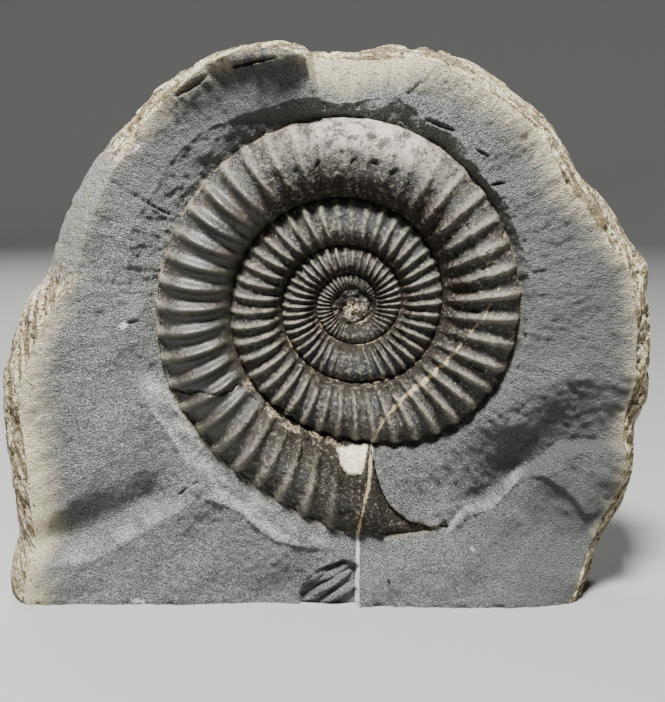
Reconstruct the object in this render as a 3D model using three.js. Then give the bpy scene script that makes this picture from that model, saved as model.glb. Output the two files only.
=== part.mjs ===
// Half of a split limestone nodule with a ribbed ammonite set in its broken face.
// Millimetres, +Z up. The broken face looks along -Y, and the stone stands on its sawn base.
// The origin is at the middle of the footprint box, on the surface the base rests on.

import * as THREE from "three";

// Main places and depths of the whole piece.
// "Height" on the face means the distance in front of the middle plane, along -Y.
const coilX = 4.9;
const coilZ = 62;
const faceLevel = 13;
const widestY = 1.5;
const backDepth = 15.6;
const pocketGap = 0.3;

// Outer edge of the coil, as [turned angle in degrees, radius].
// The angle runs on through the turns, so the edge of one whorl is the inner seam of the next.
const coilEdge = [
  [-1170, 3.3], [-1120, 3.9], [-1080, 4.7], [-1035, 6], [-990, 6.6], [-945, 6.9], [-900, 7],
  [-855, 7.05], [-810, 7.5], [-765, 8.5], [-720, 9.9], [-675, 11.1], [-630, 12.2], [-585, 13.3],
  [-540, 13.8], [-495, 14.3], [-450, 15.3], [-405, 17], [-360, 18.1], [-315, 19.9], [-270, 21.6],
  [-225, 23.1], [-180, 24], [-135, 25.4], [-105, 26.3], [-82, 28], [-60, 31], [-40, 32.9],
  [-20, 33.7], [0, 33.9], [20, 34], [45, 34.9], [60, 35.9], [90, 37.3], [120, 37.9], [150, 38.2],
  [180, 39], [205, 39.8], [225, 40.4], [240, 41.2], [250, 42.6], [262, 45], [274, 46.9],
  [285, 48.3], [294, 48.8],
];
const firstAngle = -1162;
const cornerAngle = -82;
const tipAngle = 294;

// Inner edge of the last, horn-shaped bit of the outer whorl, where stone covers the rest of it.
const hornEdge = [[278, 28], [279, 36], [281, 40.5], [285, 44.6], [290, 47.3], [294, 48.8]];

// Angles at which counted rib crests lie. Between them the ribs are evenly spread.
const ribCount = [
  [-1162, -137], [-965, -113], [-924, -108], [-716, -83], [-650, -75], [-589.5, -68],
  [-509.5, -58], [-400, -45], [-288, -32], [-236, -26], [-113, -11], [-22, 0], [60, 9],
  [124, 17], [187, 25], [242, 32], [294, 39],
];

// Height of the seam between whorls, and of the crest of the whorl, by turned angle.
const seamHeight = [
  [-1170, 8.5], [-802, 8.9], [-442, 9.5], [-120, 10.4], [-82, 10.4], [-30, 9.8], [40, 10], [185, 10],
  [212, 12.2], [262, 12.2], [294, 12.4],
];
const hornInnerHeight = 12.6;
const crestHeight = [
  [-1170, 9.2], [-1080, 9.4], [-900, 10], [-720, 10.6], [-540, 11.3], [-360, 12.2], [-180, 13.2],
  [-90, 14.2], [-60, 15], [0, 15.8], [90, 16.3], [294, 16.3],
];

// Rib height either way, as a share of the whorl's width.
const ribAmplitude = 0.055;

// Stretches of the outer whorl where the ribs are worn: middle angle, half width, share lost.
const wornStretches = [
  { middle: 84, reach: 42, loss: 0.72 },
  { middle: 278, reach: 22, loss: 0.75 },
];

// Stretch of the outer whorl whose outer side falls gently to the stone: start, full, full and end angle.
const gentleStretch = [190, 215, 258, 270];

// Columns across a whorl, from the outermost whorl inwards.
const whorlColumns = [8, 6, 4, 3];

// Widest outline of the nodule about the coil's centre, as [angle, radius].
// The last three points lie below the base, on the part that was sawn off.
const noduleOutline = [
  [-50.9, 79.8], [-43.6, 74.9], [-34, 71.9], [-24.5, 67], [-14.2, 65.2], [-3.7, 62.9], [1.7, 62.3],
  [7.3, 62.2], [12.6, 59.2], [23.7, 55.7], [29.3, 53.7], [41.2, 54.2], [53.1, 54.3], [65, 54.4],
  [76.8, 53.2], [88.8, 50.9], [94.7, 51.2], [100.5, 52.2], [106, 54.7], [117.2, 56.8],
  [128.2, 57.9], [139.2, 58.1], [149.6, 59.7], [159.9, 60.8], [169.8, 62.4], [174.6, 63.2],
  [179, 67.1], [183.5, 69.9], [192.5, 74.8], [201.5, 79.2], [210.3, 83.9], [214.6, 87.5],
  [220.2, 96.1], [245, 93], [270, 86], [290, 82], [309.1, 79.8],
];
const leftCorner = 220.2;
const rightCorner = 309.1;

// Outline direction joined to each angle of the coil's edge, and where the pocket's steps are halved.
const fan = [[-82, -28], [0, 0], [205, 205], [294, 319]];
const halvedFrom = 190;

// How far the rim rounds in from the widest outline to the broken face, by angle.
const rimInset = [
  [-28, 5.5], [20, 6], [50, 5], [75, 4], [92, 3], [116, 2.8], [130, 4], [145, 6], [180, 8], [205, 8],
  [221, 6], [309, 5], [332, 5.5],
];

// Sample places between the coil and the rim, round the rim and over the back.
const faceSteps = [0, 0.05, 0.12, 0.2, 0.29, 0.38, 0.48, 0.58, 0.68, 0.78, 0.89, 1];
const rimSteps = [0.66, 0.33, 0];
const backSteps = [0.93, 0.8, 0.6, 0.35];

// The shell goes straight back from its edge into the stone, to a flat hidden side at this height.
const hiddenHeight = 1;

function toRadians(degrees) {
  return degrees * Math.PI / 180;
}

function clamp(value, low, high) {
  return Math.min(high, Math.max(low, value));
}

function smooth(low, high, value) {
  const share = clamp((value - low) / (high - low), 0, 1);
  return share * share * (3 - 2 * share);
}

// Straight lines through a list of [place, value] points.
function polyline(points, place) {
  const last = points.length - 1;
  let index = 0;
  while (index < last - 1 && place > points[index + 1][0]) index += 1;
  const [startPlace, startValue] = points[index];
  const [endPlace, endValue] = points[index + 1];
  const share = clamp((place - startPlace) / (endPlace - startPlace), 0, 1);
  return startValue + (endValue - startValue) * share;
}

// Smooth curve through a list of [place, value] points.
function curve(points, place) {
  const last = points.length - 1;
  const inside = clamp(place, points[0][0], points[last][0]);
  let index = 0;
  while (index < last - 1 && inside > points[index + 1][0]) index += 1;
  const slopeAt = (which) => {
    const before = points[Math.max(0, which - 1)];
    const after = points[Math.min(last, which + 1)];
    return (after[1] - before[1]) / (after[0] - before[0]);
  };
  const [startPlace, startValue] = points[index];
  const [endPlace, endValue] = points[index + 1];
  const length = endPlace - startPlace;
  const u = (inside - startPlace) / length;
  const startPull = slopeAt(index) * length;
  const endPull = slopeAt(index + 1) * length;
  const rise = u * u * (3 - 2 * u);
  return startValue * (1 - rise) + endValue * rise
    + startPull * u * (1 - u) * (1 - u) - endPull * u * u * (1 - u);
}

// Point of the face plan, at an angle and radius about the coil's centre.
function aroundCoil(angle, radius) {
  return { x: coilX + radius * Math.cos(toRadians(angle)), z: coilZ + radius * Math.sin(toRadians(angle)) };
}

// Radius and angle of a point about the coil's centre. The angle runs from the corner on for one turn.
function coilPolar(x, z) {
  const radius = Math.hypot(x - coilX, z - coilZ);
  const angle = Math.atan2(z - coilZ, x - coilX) * 180 / Math.PI;
  return { radius, angle: angle < cornerAngle ? angle + 360 : angle };
}

// Distance from a point to a broken line.
function lineDistance(x, z, line) {
  let best = Infinity;
  for (let index = 0; index < line.length - 1; index += 1) {
    const [startX, startZ] = line[index];
    const stepX = line[index + 1][0] - startX;
    const stepZ = line[index + 1][1] - startZ;
    const share = clamp(((x - startX) * stepX + (z - startZ) * stepZ) / (stepX ** 2 + stepZ ** 2), 0, 1);
    best = Math.min(best, Math.hypot(x - startX - share * stepX, z - startZ - share * stepZ));
  }
  return best;
}

// Whether a point lies above a line that runs from left to right.
function isAbove(x, z, line) {
  return z > polyline(line, x);
}

// The broken face
// Inner and outer radius of the horn in a direction that it crosses.
function hornAt(angle) {
  const turned = Math.min(angle + 360, tipAngle);
  return { inner: polyline(hornEdge, turned), outer: curve(coilEdge, turned) };
}

function isPastHorn(radius, angle) {
  const { inner, outer } = hornAt(angle);
  return angle + 360 < tipAngle && radius > (inner + outer) / 2;
}

// How far outside the coil's edge a point lies.
function coilDistance(x, z) {
  const { radius, angle } = coilPolar(x, z);
  const outside = radius - curve(coilEdge, angle);
  if (angle + 360 > tipAngle) return outside;
  const { inner, outer } = hornAt(angle);
  if (isPastHorn(radius, angle)) return radius - outer;
  return Math.min(outside, inner - radius);
}

// The coil lies in a trough of the face: width of the trough's wall, by turned angle.
const troughWidth = [
  [-82, 1.5], [20, 2], [60, 2.4], [78, 4.5], [96, 2.4], [104, 4.4], [116, 5.2], [126, 6.4], [139, 7.4],
  [170, 6.4],
  [178, 3], [195, 2.2], [213, 8.5], [243, 6], [263, 4.5], [294, 1.5],
];

function trough(x, z) {
  const { radius, angle } = coilPolar(x, z);
  const pastHorn = isPastHorn(radius, angle);
  const distance = radius - (pastHorn ? hornAt(angle).outer : curve(coilEdge, angle));
  const turned = pastHorn ? angle + 360 : angle;
  const slope = clamp(1 - distance / polyline(troughWidth, turned), 0, 1);
  return (faceLevel - polyline(seamHeight, turned)) * slope;
}

// Between the coil and the horn the stone rises to the horn's inner edge.
const wedgeRise = { height: 0.9, reach: 7, tipFade: 3 };

function wedge(x, z) {
  const { radius, angle } = coilPolar(x, z);
  const inside = smooth(tipAngle, tipAngle - wedgeRise.tipFade, angle + 360);
  return wedgeRise.height * smooth(wedgeRise.reach, 0.5, hornAt(angle).inner - radius) * inside;
}

// The stone below and left of the coil rises to a broken ridge, and falls off gently past it.
const bandRidge = [
  [-36, 43], [-31, 36], [-26.5, 25.3], [-20.8, 22.4], [-16.8, 20.3], [-13.3, 17], [-10.6, 14.9], [0, 12.6],
];
const bandShape = { height: 1.8, above: 9, below: 13, left: [-42, -34], right: [4, -6] };

function band(x, z) {
  const reach = isAbove(x, z, bandRidge) ? bandShape.above : bandShape.below;
  const across = smooth(...bandShape.left, x) * smooth(...bandShape.right, x);
  return bandShape.height * smooth(reach, 0, lineDistance(x, z, bandRidge)) * across;
}

// Flake scar at the top, leaning back as it rises. Its left side is steep and slants a little.
const topFacet = {
  foot: 100.5,
  lean: 0.68,
  right: 10.5,
  rightLean: 0.57,
  left: -0.6,
  leftSlant: 0.2,
  leftFoot: 101,
  leftLean: 7,
};

function topFacetHeight(x, z) {
  const right = topFacet.rightLean * Math.max(0, x - topFacet.right);
  const leftSide = topFacet.left - topFacet.leftSlant * (z - topFacet.leftFoot);
  const left = topFacet.leftLean * Math.max(0, leftSide - x);
  return faceLevel - topFacet.lean * (z - topFacet.foot) + right + left;
}

// Left of the top facet the face leans forward as it rises.
const overhangShape = { foot: 98.5, lean: 0.367, rise: 12, right: [0, -1.2], left: [-38, -18] };

function overhang(x, z) {
  const rise = clamp(z - overhangShape.foot, 0, overhangShape.rise);
  const across = smooth(...overhangShape.right, x) * smooth(...overhangShape.left, x);
  return overhangShape.lean * rise * across;
}

// Scar in that part, sunk under a lip of rind.
const lipScar = { x: -12, z: 104.4, slant: 0.1, halfWidth: 11, halfHeight: 4.6, depth: 1 };

function lipScarDepth(x, z) {
  const rise = (z - lipScar.z - lipScar.slant * (x - lipScar.x)) / lipScar.halfHeight;
  const across = smooth(1, 0.6, Math.abs(x - lipScar.x) / lipScar.halfWidth);
  return lipScar.depth * across * smooth(1, 0.9, rise) * smooth(-1.6, 0.9, rise);
}

// Long pit near the upper left rim.
const longPit = { line: [[-29, 102.7], [-22, 107]], reach: 1.8, depth: 1.5 };

function longPitDepth(x, z) {
  return longPit.depth * smooth(longPit.reach, 0, lineDistance(x, z, longPit.line));
}

// Valley at the lower left, between a soft upper edge and a sharp ridge.
const valleyTop = [[-68, 15], [-57.6, 20.7], [-48.2, 25.2], [-37.6, 30.4], [-35.3, 33.8]];
const valleyRidge = [
  [-66, 8], [-52, 9.3], [-46.7, 10.8], [-41, 14.2], [-34.2, 18.8], [-29.4, 21.8], [-26, 24.5], [-22, 25.5],
];
const valleyShape = { depth: 3.6, floor: 0.62, fade: [-30, -38], rimFade: [-64, -52], atRim: 0.3 };

function valley(x, z) {
  if (isAbove(x, z, valleyTop) || !isAbove(x, z, valleyRidge)) return 0;
  const top = lineDistance(x, z, valleyTop);
  const share = top / (top + lineDistance(x, z, valleyRidge));
  const fromTop = smooth(0, valleyShape.floor, share);
  const fromRidge = clamp((1 - share) / (1 - valleyShape.floor), 0, 1);
  const rimShare = valleyShape.atRim + (1 - valleyShape.atRim) * smooth(...valleyShape.rimFade, x);
  return valleyShape.depth * smooth(...valleyShape.fade, x) * rimShare * fromTop * fromRidge;
}

// Hollow above the cracked line at the lower right. The block below the line stands proud.
const crackLine = [
  [24, 15], [28.6, 19.8], [33.5, 21.1], [38.5, 26.2], [44.5, 29.8], [48, 33], [58, 33.5], [67, 34.5],
];
const hollowShape = { depth: 5.6, reach: 14.5, edge: 2.4, fade: [22, 38], rimFade: [52, 63], rimLoss: 0.6 };

function hollow(x, z) {
  const crack = lineDistance(x, z, crackLine);
  if (!isAbove(x, z, crackLine) || crack > hollowShape.reach) return 0;
  const near = 1 - crack / hollowShape.reach;
  const rimShare = 1 - hollowShape.rimLoss * smooth(...hollowShape.rimFade, x);
  const across = smooth(...hollowShape.fade, x) * rimShare;
  return hollowShape.depth * near * across * smooth(0, hollowShape.edge, crack);
}

// Lower right facet, falling back to the rim.
const cornerFacet = { x: 39, z: 12, leanX: 0.16, leanZ: 0.06, top: 34, fade: 24 };

function cornerFacetDrop(x, z) {
  const lean = cornerFacet.leanX * (x - cornerFacet.x) + cornerFacet.leanZ * (z - cornerFacet.z);
  return Math.max(0, lean) * smooth(cornerFacet.top, cornerFacet.top - cornerFacet.fade, z);
}

// Chip at the foot. It ends on the right at the straight line of the vein.
const veinX = 6.3;
const veinStep = 0.6;
const chip = { left: -7, top: 9.5, depth: 1.2, edge: 3 };

function chipDepth(x, z) {
  const fromLeft = smooth(chip.left, chip.left + chip.edge, x);
  const toVein = smooth(veinX + veinStep, veinX - veinStep, x);
  return chip.depth * fromLeft * toVein * smooth(chip.top, chip.top - chip.edge, z);
}

// The foot is set back a little left of the chip, and stands out right of the vein.
const footSetBack = { x: -20, reach: 18, middle: 4, rise: 14, depth: 0.8 };
const rightStep = { height: 0.9, top: 16, fade: 8 };

function footChange(x, z) {
  const across = smooth(footSetBack.reach, footSetBack.middle, Math.abs(x - footSetBack.x));
  const back = footSetBack.depth * across * smooth(footSetBack.rise, 0, z);
  const pastVein = smooth(veinX - veinStep, veinX + veinStep, x);
  return rightStep.height * pastVein * smooth(rightStep.top, rightStep.top - rightStep.fade, z) - back;
}

// Low swells of the broken face.
const swells = [
  { height: 0.35, x: 0.21, z: 0.13, start: 0.4 },
  { height: 0.25, x: -0.17, z: 0.31, start: 1.9 },
  { height: 0.18, x: 0.47, z: -0.39, start: 4.2 },
];

const swellStart = 4;

function swell(x, z) {
  let sum = 0;
  for (const wave of swells) sum += wave.height * Math.sin(wave.x * x + wave.z * z + wave.start);
  return sum;
}

function faceHeight(x, z) {
  const plain = faceLevel + footChange(x, z) - lipScarDepth(x, z) - cornerFacetDrop(x, z) + overhang(x, z);
  const broken = Math.min(plain, topFacetHeight(x, z)) - valley(x, z) - hollow(x, z) - chipDepth(x, z);
  const farFromCoil = smooth(0, swellStart, coilDistance(x, z));
  const rises = wedge(x, z) + band(x, z) + swell(x, z) * farFromCoil;
  return broken - trough(x, z) - longPitDepth(x, z) + rises;
}

// The shell
function whorlInnerRadius(angle) {
  if (angle > cornerAngle + 360) return polyline(hornEdge, angle);
  return angle - 360 < firstAngle ? 0 : curve(coilEdge, angle - 360);
}

function wear(angle) {
  let left = 1;
  for (const stretch of wornStretches) {
    const near = smooth(stretch.reach, 0, Math.abs(angle - stretch.middle));
    left *= 1 - stretch.loss * near;
  }
  return left;
}

function gentleShare(angle) {
  const [start, full, last, end] = gentleStretch;
  return smooth(start, full, angle) * smooth(end, last, angle);
}

// Height of the shell at a share of the way from its inner seam to its outer edge.
function shellHeight(angle, share) {
  const outer = curve(coilEdge, angle);
  const inner = whorlInnerRadius(angle);
  const coveredSeam = polyline(seamHeight, Math.max(firstAngle, angle - 360));
  const onHorn = smooth(cornerAngle + 359, cornerAngle + 363, angle);
  const innerSeam = coveredSeam + (hornInnerHeight - coveredSeam) * onHorn;
  const outerSeam = polyline(seamHeight, angle);
  const floor = innerSeam + (outerSeam - innerSeam) * share;
  const round = (1 - Math.abs(2 * share - 1) ** 2.3) ** 0.7;
  const gentle = share > 0.5 ? gentleShare(angle) : 0;
  const arch = round * (1 - gentle) + (1 - (2 * share - 1) ** 2) * gentle;
  const covered = clamp((outer - inner) / (outer - curve(coilEdge, angle - 360)), 0, 1);
  const crest = floor + (curve(crestHeight, angle) - floor) * covered;
  const ribShape = Math.cos(2 * Math.PI * polyline(ribCount, angle));
  const ribFade = smooth(0, 0.2, share) * (1 - 0.5 * smooth(0.85, 1, share));
  const rib = ribAmplitude * (outer - inner) * ribShape * ribFade * wear(angle);
  return floor + (crest - floor) * arch + rib * smooth(0, 0.05, 1 - share);
}

// A shared list of corners and triangles for one closed body.
class Skin {
  constructor() {
    this.places = [];
    this.triangles = [];
  }

  corner(x, height, z) {
    this.places.push(x, -height, z);
    return this.places.length / 3 - 1;
  }

  face(a, b, c) {
    if (a !== b && b !== c && c !== a) this.triangles.push(a, b, c);
  }

  // Joins two rows of corners, the first one nearer the middle. Each corner has a place along its row.
  stitch(inner, outer) {
    let i = 0;
    let j = 0;
    while (i < inner.length - 1 || j < outer.length - 1) {
      const innerNext = i < inner.length - 1 ? (inner[i].place + inner[i + 1].place) / 2 : Infinity;
      const outerNext = j < outer.length - 1 ? (outer[j].place + outer[j + 1].place) / 2 : Infinity;
      if (innerNext < outerNext) {
        this.face(inner[i].id, outer[j].id, inner[i + 1].id);
        i += 1;
      } else {
        this.face(inner[i].id, outer[j].id, outer[j + 1].id);
        j += 1;
      }
    }
  }

  // Joins two closed rings that have the same number of corners.
  band(inner, outer) {
    const count = inner.length;
    for (let index = 0; index < count; index += 1) {
      const next = (index + 1) % count;
      this.face(inner[index], outer[index], outer[next]);
      this.face(inner[index], outer[next], inner[next]);
    }
  }

  geometry() {
    const geometry = new THREE.BufferGeometry();
    geometry.setAttribute("position", new THREE.Float32BufferAttribute(this.places, 3));
    geometry.setIndex(this.triangles);
    geometry.computeVertexNormals();
    return geometry;
  }
}

// Angles at which the shell is sampled: every crest and trough of the ribs, and the two ends of the horn.
function stationAngles() {
  const byNumber = ribCount.map(([angle, number]) => [number, angle]);
  const angles = [];
  const lastNumber = byNumber[byNumber.length - 1][0];
  for (let number = byNumber[0][0]; number <= lastNumber; number += 0.5) {
    angles.push(polyline(byNumber, number));
  }
  for (const exact of [cornerAngle, cornerAngle + 360]) {
    let nearest = 0;
    angles.forEach((angle, index) => {
      if (Math.abs(angle - exact) < Math.abs(angles[nearest] - exact)) nearest = index;
    });
    angles[nearest] = exact;
  }
  return angles;
}

function columnsAt(angle) {
  const turnsIn = Math.floor((cornerAngle - angle) / 360) + 1;
  return whorlColumns[clamp(turnsIn, 0, whorlColumns.length - 1)];
}

// Row of corners across the whorl, without the corner on the inner seam.
function shellRow(skin, angle) {
  const count = columnsAt(angle);
  const inner = whorlInnerRadius(angle);
  const outer = curve(coilEdge, angle);
  const row = [];
  for (let column = 1; column <= count; column += 1) {
    const share = (1 - Math.cos(Math.PI * column / count)) / 2;
    const point = aroundCoil(angle, inner + (outer - inner) * share);
    row.push({ id: skin.corner(point.x, shellHeight(angle, share), point.z), place: share });
  }
  return row;
}

// Front of the shell. Returns the closed loop of corners round its edge.
function shellFront(skin) {
  const angles = stationAngles();
  const tip = angles.length - 1;
  const corner = angles.indexOf(cornerAngle);
  const hornStart = angles.indexOf(cornerAngle + 360);
  const firstTurnEnd = angles.findIndex((angle) => angle >= firstAngle + 360);
  const rows = angles.slice(0, tip).map((angle) => shellRow(skin, angle));
  const tipPoint = aroundCoil(tipAngle, curve(coilEdge, tipAngle));
  rows.push([{ id: skin.corner(tipPoint.x, polyline(seamHeight, tipAngle), tipPoint.z), place: 1 }]);
  const outermost = (index) => rows[index][rows[index].length - 1].id;

  // The horn's rows also have a corner on its inner edge, the first of them shared with the whorl inside.
  rows[hornStart].unshift({ id: outermost(corner), place: 0 });
  for (let index = hornStart + 1; index < tip; index += 1) {
    const point = aroundCoil(angles[index], polyline(hornEdge, angles[index]));
    rows[index].unshift({ id: skin.corner(point.x, shellHeight(angles[index], 0), point.z), place: 0 });
  }
  for (let index = 0; index < tip; index += 1) {
    const seamless = index + 1 === hornStart ? rows[hornStart].slice(1) : rows[index + 1];
    skin.stitch(seamless, rows[index]);
  }

  // Each whorl's outer edge is joined to the first corners of the whorl that lies on it.
  const seam = [];
  for (let index = 0; index <= corner; index += 1) {
    seam.push({ id: outermost(index), place: angles[index] });
  }
  const lap = [];
  for (let index = firstTurnEnd; index <= hornStart; index += 1) {
    const first = index === hornStart ? rows[index][1] : rows[index][0];
    lap.push({ id: first.id, place: angles[index] - 360 });
  }
  skin.stitch(seam, lap);

  // The first turn closes on the centre.
  const centre = skin.corner(coilX, crestHeight[0][1], coilZ);
  for (let index = 0; index < firstTurnEnd; index += 1) {
    skin.face(centre, rows[index][0].id, rows[index + 1][0].id);
  }
  const closing = rows[firstTurnEnd][0].id;
  skin.face(centre, closing, rows[0][0].id);
  for (let column = 0; column < rows[0].length - 1; column += 1) {
    skin.face(rows[0][column].id, closing, rows[0][column + 1].id);
  }

  const loop = [];
  for (let index = corner; index <= tip; index += 1) {
    loop.push({ id: outermost(index), angle: angles[index] });
  }
  for (let index = tip - 1; index > hornStart; index -= 1) {
    loop.push({ id: rows[index][0].id, angle: null });
  }
  return loop;
}

// Flat hidden side of the shell or of its pocket. The shell's looks back, the pocket's looks forward.
function hiddenSide(skin, edge, height, looksForward) {
  const ring = edge.map((point) => skin.corner(point.x, height, point.z));
  const outline = edge.map((point) => new THREE.Vector2(point.x, point.z));
  for (const [a, b, c] of THREE.ShapeUtils.triangulateShape(outline, [])) {
    if (looksForward) skin.face(ring[a], ring[b], ring[c]);
    else skin.face(ring[a], ring[c], ring[b]);
  }
  return ring;
}

function makeShell() {
  const skin = new Skin();
  const loop = shellFront(skin);
  const edge = loop.map(({ id, angle }) => ({ x: skin.places[id * 3], z: skin.places[id * 3 + 2], angle }));
  const hidden = hiddenSide(skin, edge, hiddenHeight, false);
  skin.band(loop.map(({ id }) => id), hidden);
  return { geometry: skin.geometry(), edge };
}

// Edge of the pocket, a gap outside the shell's edge. Extra corners halve the long steps above the base.
function pocketEdge(edge) {
  const count = edge.length;
  const points = edge.map((point, index) => {
    const before = edge[(index + count - 1) % count];
    const after = edge[(index + 1) % count];
    const first = new THREE.Vector2(point.z - before.z, before.x - point.x).normalize();
    const second = new THREE.Vector2(after.z - point.z, point.x - after.x).normalize();
    const middle = first.clone().add(second).normalize();
    const reach = pocketGap / Math.max(0.3, middle.dot(first));
    return { x: point.x + middle.x * reach, z: point.z + middle.y * reach, angle: point.angle };
  });
  const filled = [];
  points.forEach((point, index) => {
    filled.push(point);
    const next = points[index + 1];
    if (!next || point.angle === null || next.angle === null || point.angle < halvedFrom) return;
    filled.push({
      x: (point.x + next.x) / 2,
      z: (point.z + next.z) / 2,
      angle: (point.angle + next.angle) / 2,
    });
  });
  return filled;
}

// Direction on the nodule's outline that each corner of the pocket's edge is joined to.
// Most lie straight out from the centre. The ones on the horn fan out over the base and the lower right.
function outlineDirections(edge) {
  const inner = edge.filter((point) => point.angle === null).length;
  const fanTip = fan[fan.length - 1][1];
  const fanEnd = fan[0][1] + 360;
  let innerIndex = 0;
  const directions = edge.map((point) => {
    if (point.angle !== null) return polyline(fan, point.angle);
    innerIndex += 1;
    return fanTip + (fanEnd - fanTip) * innerIndex / (inner + 1);
  });
  for (const corner of [leftCorner, rightCorner]) {
    let nearest = 0;
    directions.forEach((direction, index) => {
      if (Math.abs(direction - corner) < Math.abs(directions[nearest] - corner)) nearest = index;
    });
    directions[nearest] = corner;
  }
  return directions;
}

function onBase(direction) {
  return direction >= leftCorner && direction <= rightCorner;
}

function outlineRadius(direction) {
  return curve(noduleOutline, direction > rightCorner ? direction - 360 : direction);
}

// Point of the stone's outline, drawn in by an inset. The base line stays on the base.
function outlinePoint(direction, inset) {
  const left = aroundCoil(leftCorner, outlineRadius(leftCorner)).x;
  const right = aroundCoil(rightCorner, outlineRadius(rightCorner)).x;
  if (onBase(direction)) {
    const x = coilX - coilZ / Math.tan(toRadians(direction));
    const share = (x - left) / (right - left);
    return { x: left + inset + (right - left - 2 * inset) * clamp(share, 0, 1), z: 0 };
  }
  const point = aroundCoil(direction, outlineRadius(direction));
  const rise = smooth(0, 30, point.z);
  const along = toRadians(direction);
  const inward = new THREE.Vector2(-Math.cos(along), -Math.sin(along) * rise).normalize();
  return { x: point.x + inward.x * inset, z: Math.max(0, point.z + inward.y * inset) };
}

function insetAt(direction) {
  return polyline(rimInset, direction);
}

// Height of the back, which lies behind the middle plane, so it is negative.
function backHeight(x, z) {
  const radius = Math.hypot(x - coilX, z - coilZ);
  let angle = Math.atan2(z - coilZ, x - coilX) * 180 / Math.PI;
  if (angle < noduleOutline[0][0]) angle += 360;
  const share = clamp(radius / curve(noduleOutline, angle), 0, 1);
  return -widestY - backDepth * Math.sqrt(1 - share ** 2.4);
}

function makeStone(shellEdge) {
  const skin = new Skin();
  const pocket = pocketEdge(shellEdge);
  const directions = outlineDirections(pocket);
  const rings = [hiddenSide(skin, pocket, hiddenHeight - pocketGap, true)];

  for (const step of faceSteps) {
    rings.push(pocket.map((point, index) => {
      const outer = outlinePoint(directions[index], insetAt(directions[index]));
      const x = point.x + (outer.x - point.x) * step;
      const z = point.z + (outer.z - point.z) * step;
      return skin.corner(x, faceHeight(x, z), z);
    }));
  }

  for (const step of rimSteps) {
    rings.push(directions.map((direction) => {
      const inset = insetAt(direction);
      const faceEdge = outlinePoint(direction, inset);
      const point = outlinePoint(direction, inset * step);
      const front = faceHeight(faceEdge.x, faceEdge.z);
      const round = Math.sqrt(1 - (1 - step) ** 2);
      const rise = onBase(direction) ? step : 0.25 * step + 0.75 * round;
      const back = onBase(direction) ? backHeight(point.x, 0) : -widestY;
      return skin.corner(point.x, back + (front - back) * rise, point.z);
    }));
  }

  for (const scale of backSteps) {
    rings.push(directions.map((direction) => {
      const rim = outlinePoint(direction, 0);
      const x = coilX + (rim.x - coilX) * scale;
      const z = coilZ + (rim.z - coilZ) * scale;
      return skin.corner(x, backHeight(x, z), z);
    }));
  }

  const backCentre = skin.corner(coilX, backHeight(coilX, coilZ), coilZ);
  const count = pocket.length;
  const lastRing = rings[rings.length - 1];
  for (let index = 0; index < count; index += 1) {
    const next = (index + 1) % count;
    skin.face(lastRing[index], backCentre, lastRing[next]);
  }
  for (let ring = 0; ring < rings.length - 1; ring += 1) skin.band(rings[ring], rings[ring + 1]);
  return skin.geometry();
}

const stoneGrey = new THREE.MeshStandardMaterial({ color: 0x6f7172, roughness: 0.9, metalness: 0 });
const shellBrown = new THREE.MeshStandardMaterial({ color: 0x3a332d, roughness: 0.45, metalness: 0 });

const shell = makeShell();

const ammonite = new THREE.Mesh(shell.geometry, shellBrown);
ammonite.name = "ammonite";

const matrixStone = new THREE.Mesh(makeStone(shell.edge), stoneGrey);
matrixStone.name = "matrix_stone";

const fossil = new THREE.Group();
fossil.add(matrixStone, ammonite);

export default fossil;
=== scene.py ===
import math

import bmesh
import bpy
import numpy as np
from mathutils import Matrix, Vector


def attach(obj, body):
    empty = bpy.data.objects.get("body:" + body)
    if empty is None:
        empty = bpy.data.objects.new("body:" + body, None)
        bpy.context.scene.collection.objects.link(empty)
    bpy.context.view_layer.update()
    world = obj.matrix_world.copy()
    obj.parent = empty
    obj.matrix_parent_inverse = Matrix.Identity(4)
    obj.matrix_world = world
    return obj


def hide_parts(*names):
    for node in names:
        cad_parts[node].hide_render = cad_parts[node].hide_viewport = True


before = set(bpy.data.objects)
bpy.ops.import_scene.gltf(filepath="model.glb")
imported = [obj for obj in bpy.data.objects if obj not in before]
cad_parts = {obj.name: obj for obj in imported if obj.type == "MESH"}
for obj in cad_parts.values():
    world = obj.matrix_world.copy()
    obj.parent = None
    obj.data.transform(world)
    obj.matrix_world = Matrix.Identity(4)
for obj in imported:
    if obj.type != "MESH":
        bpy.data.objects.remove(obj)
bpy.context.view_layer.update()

# Half of a split limestone nodule with a ribbed ammonite in its broken face.
# Lengths here are in millimetres, and become metres as each mesh is made.
# "Height" on the face is the distance in front of the middle plane, along -Y.
MM = 0.001
COIL_X = 4.9
COIL_Z = 62.0
FACE_LEVEL = 13.0
WIDEST_Y = 1.5
BACK_DEPTH = 15.6

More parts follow.
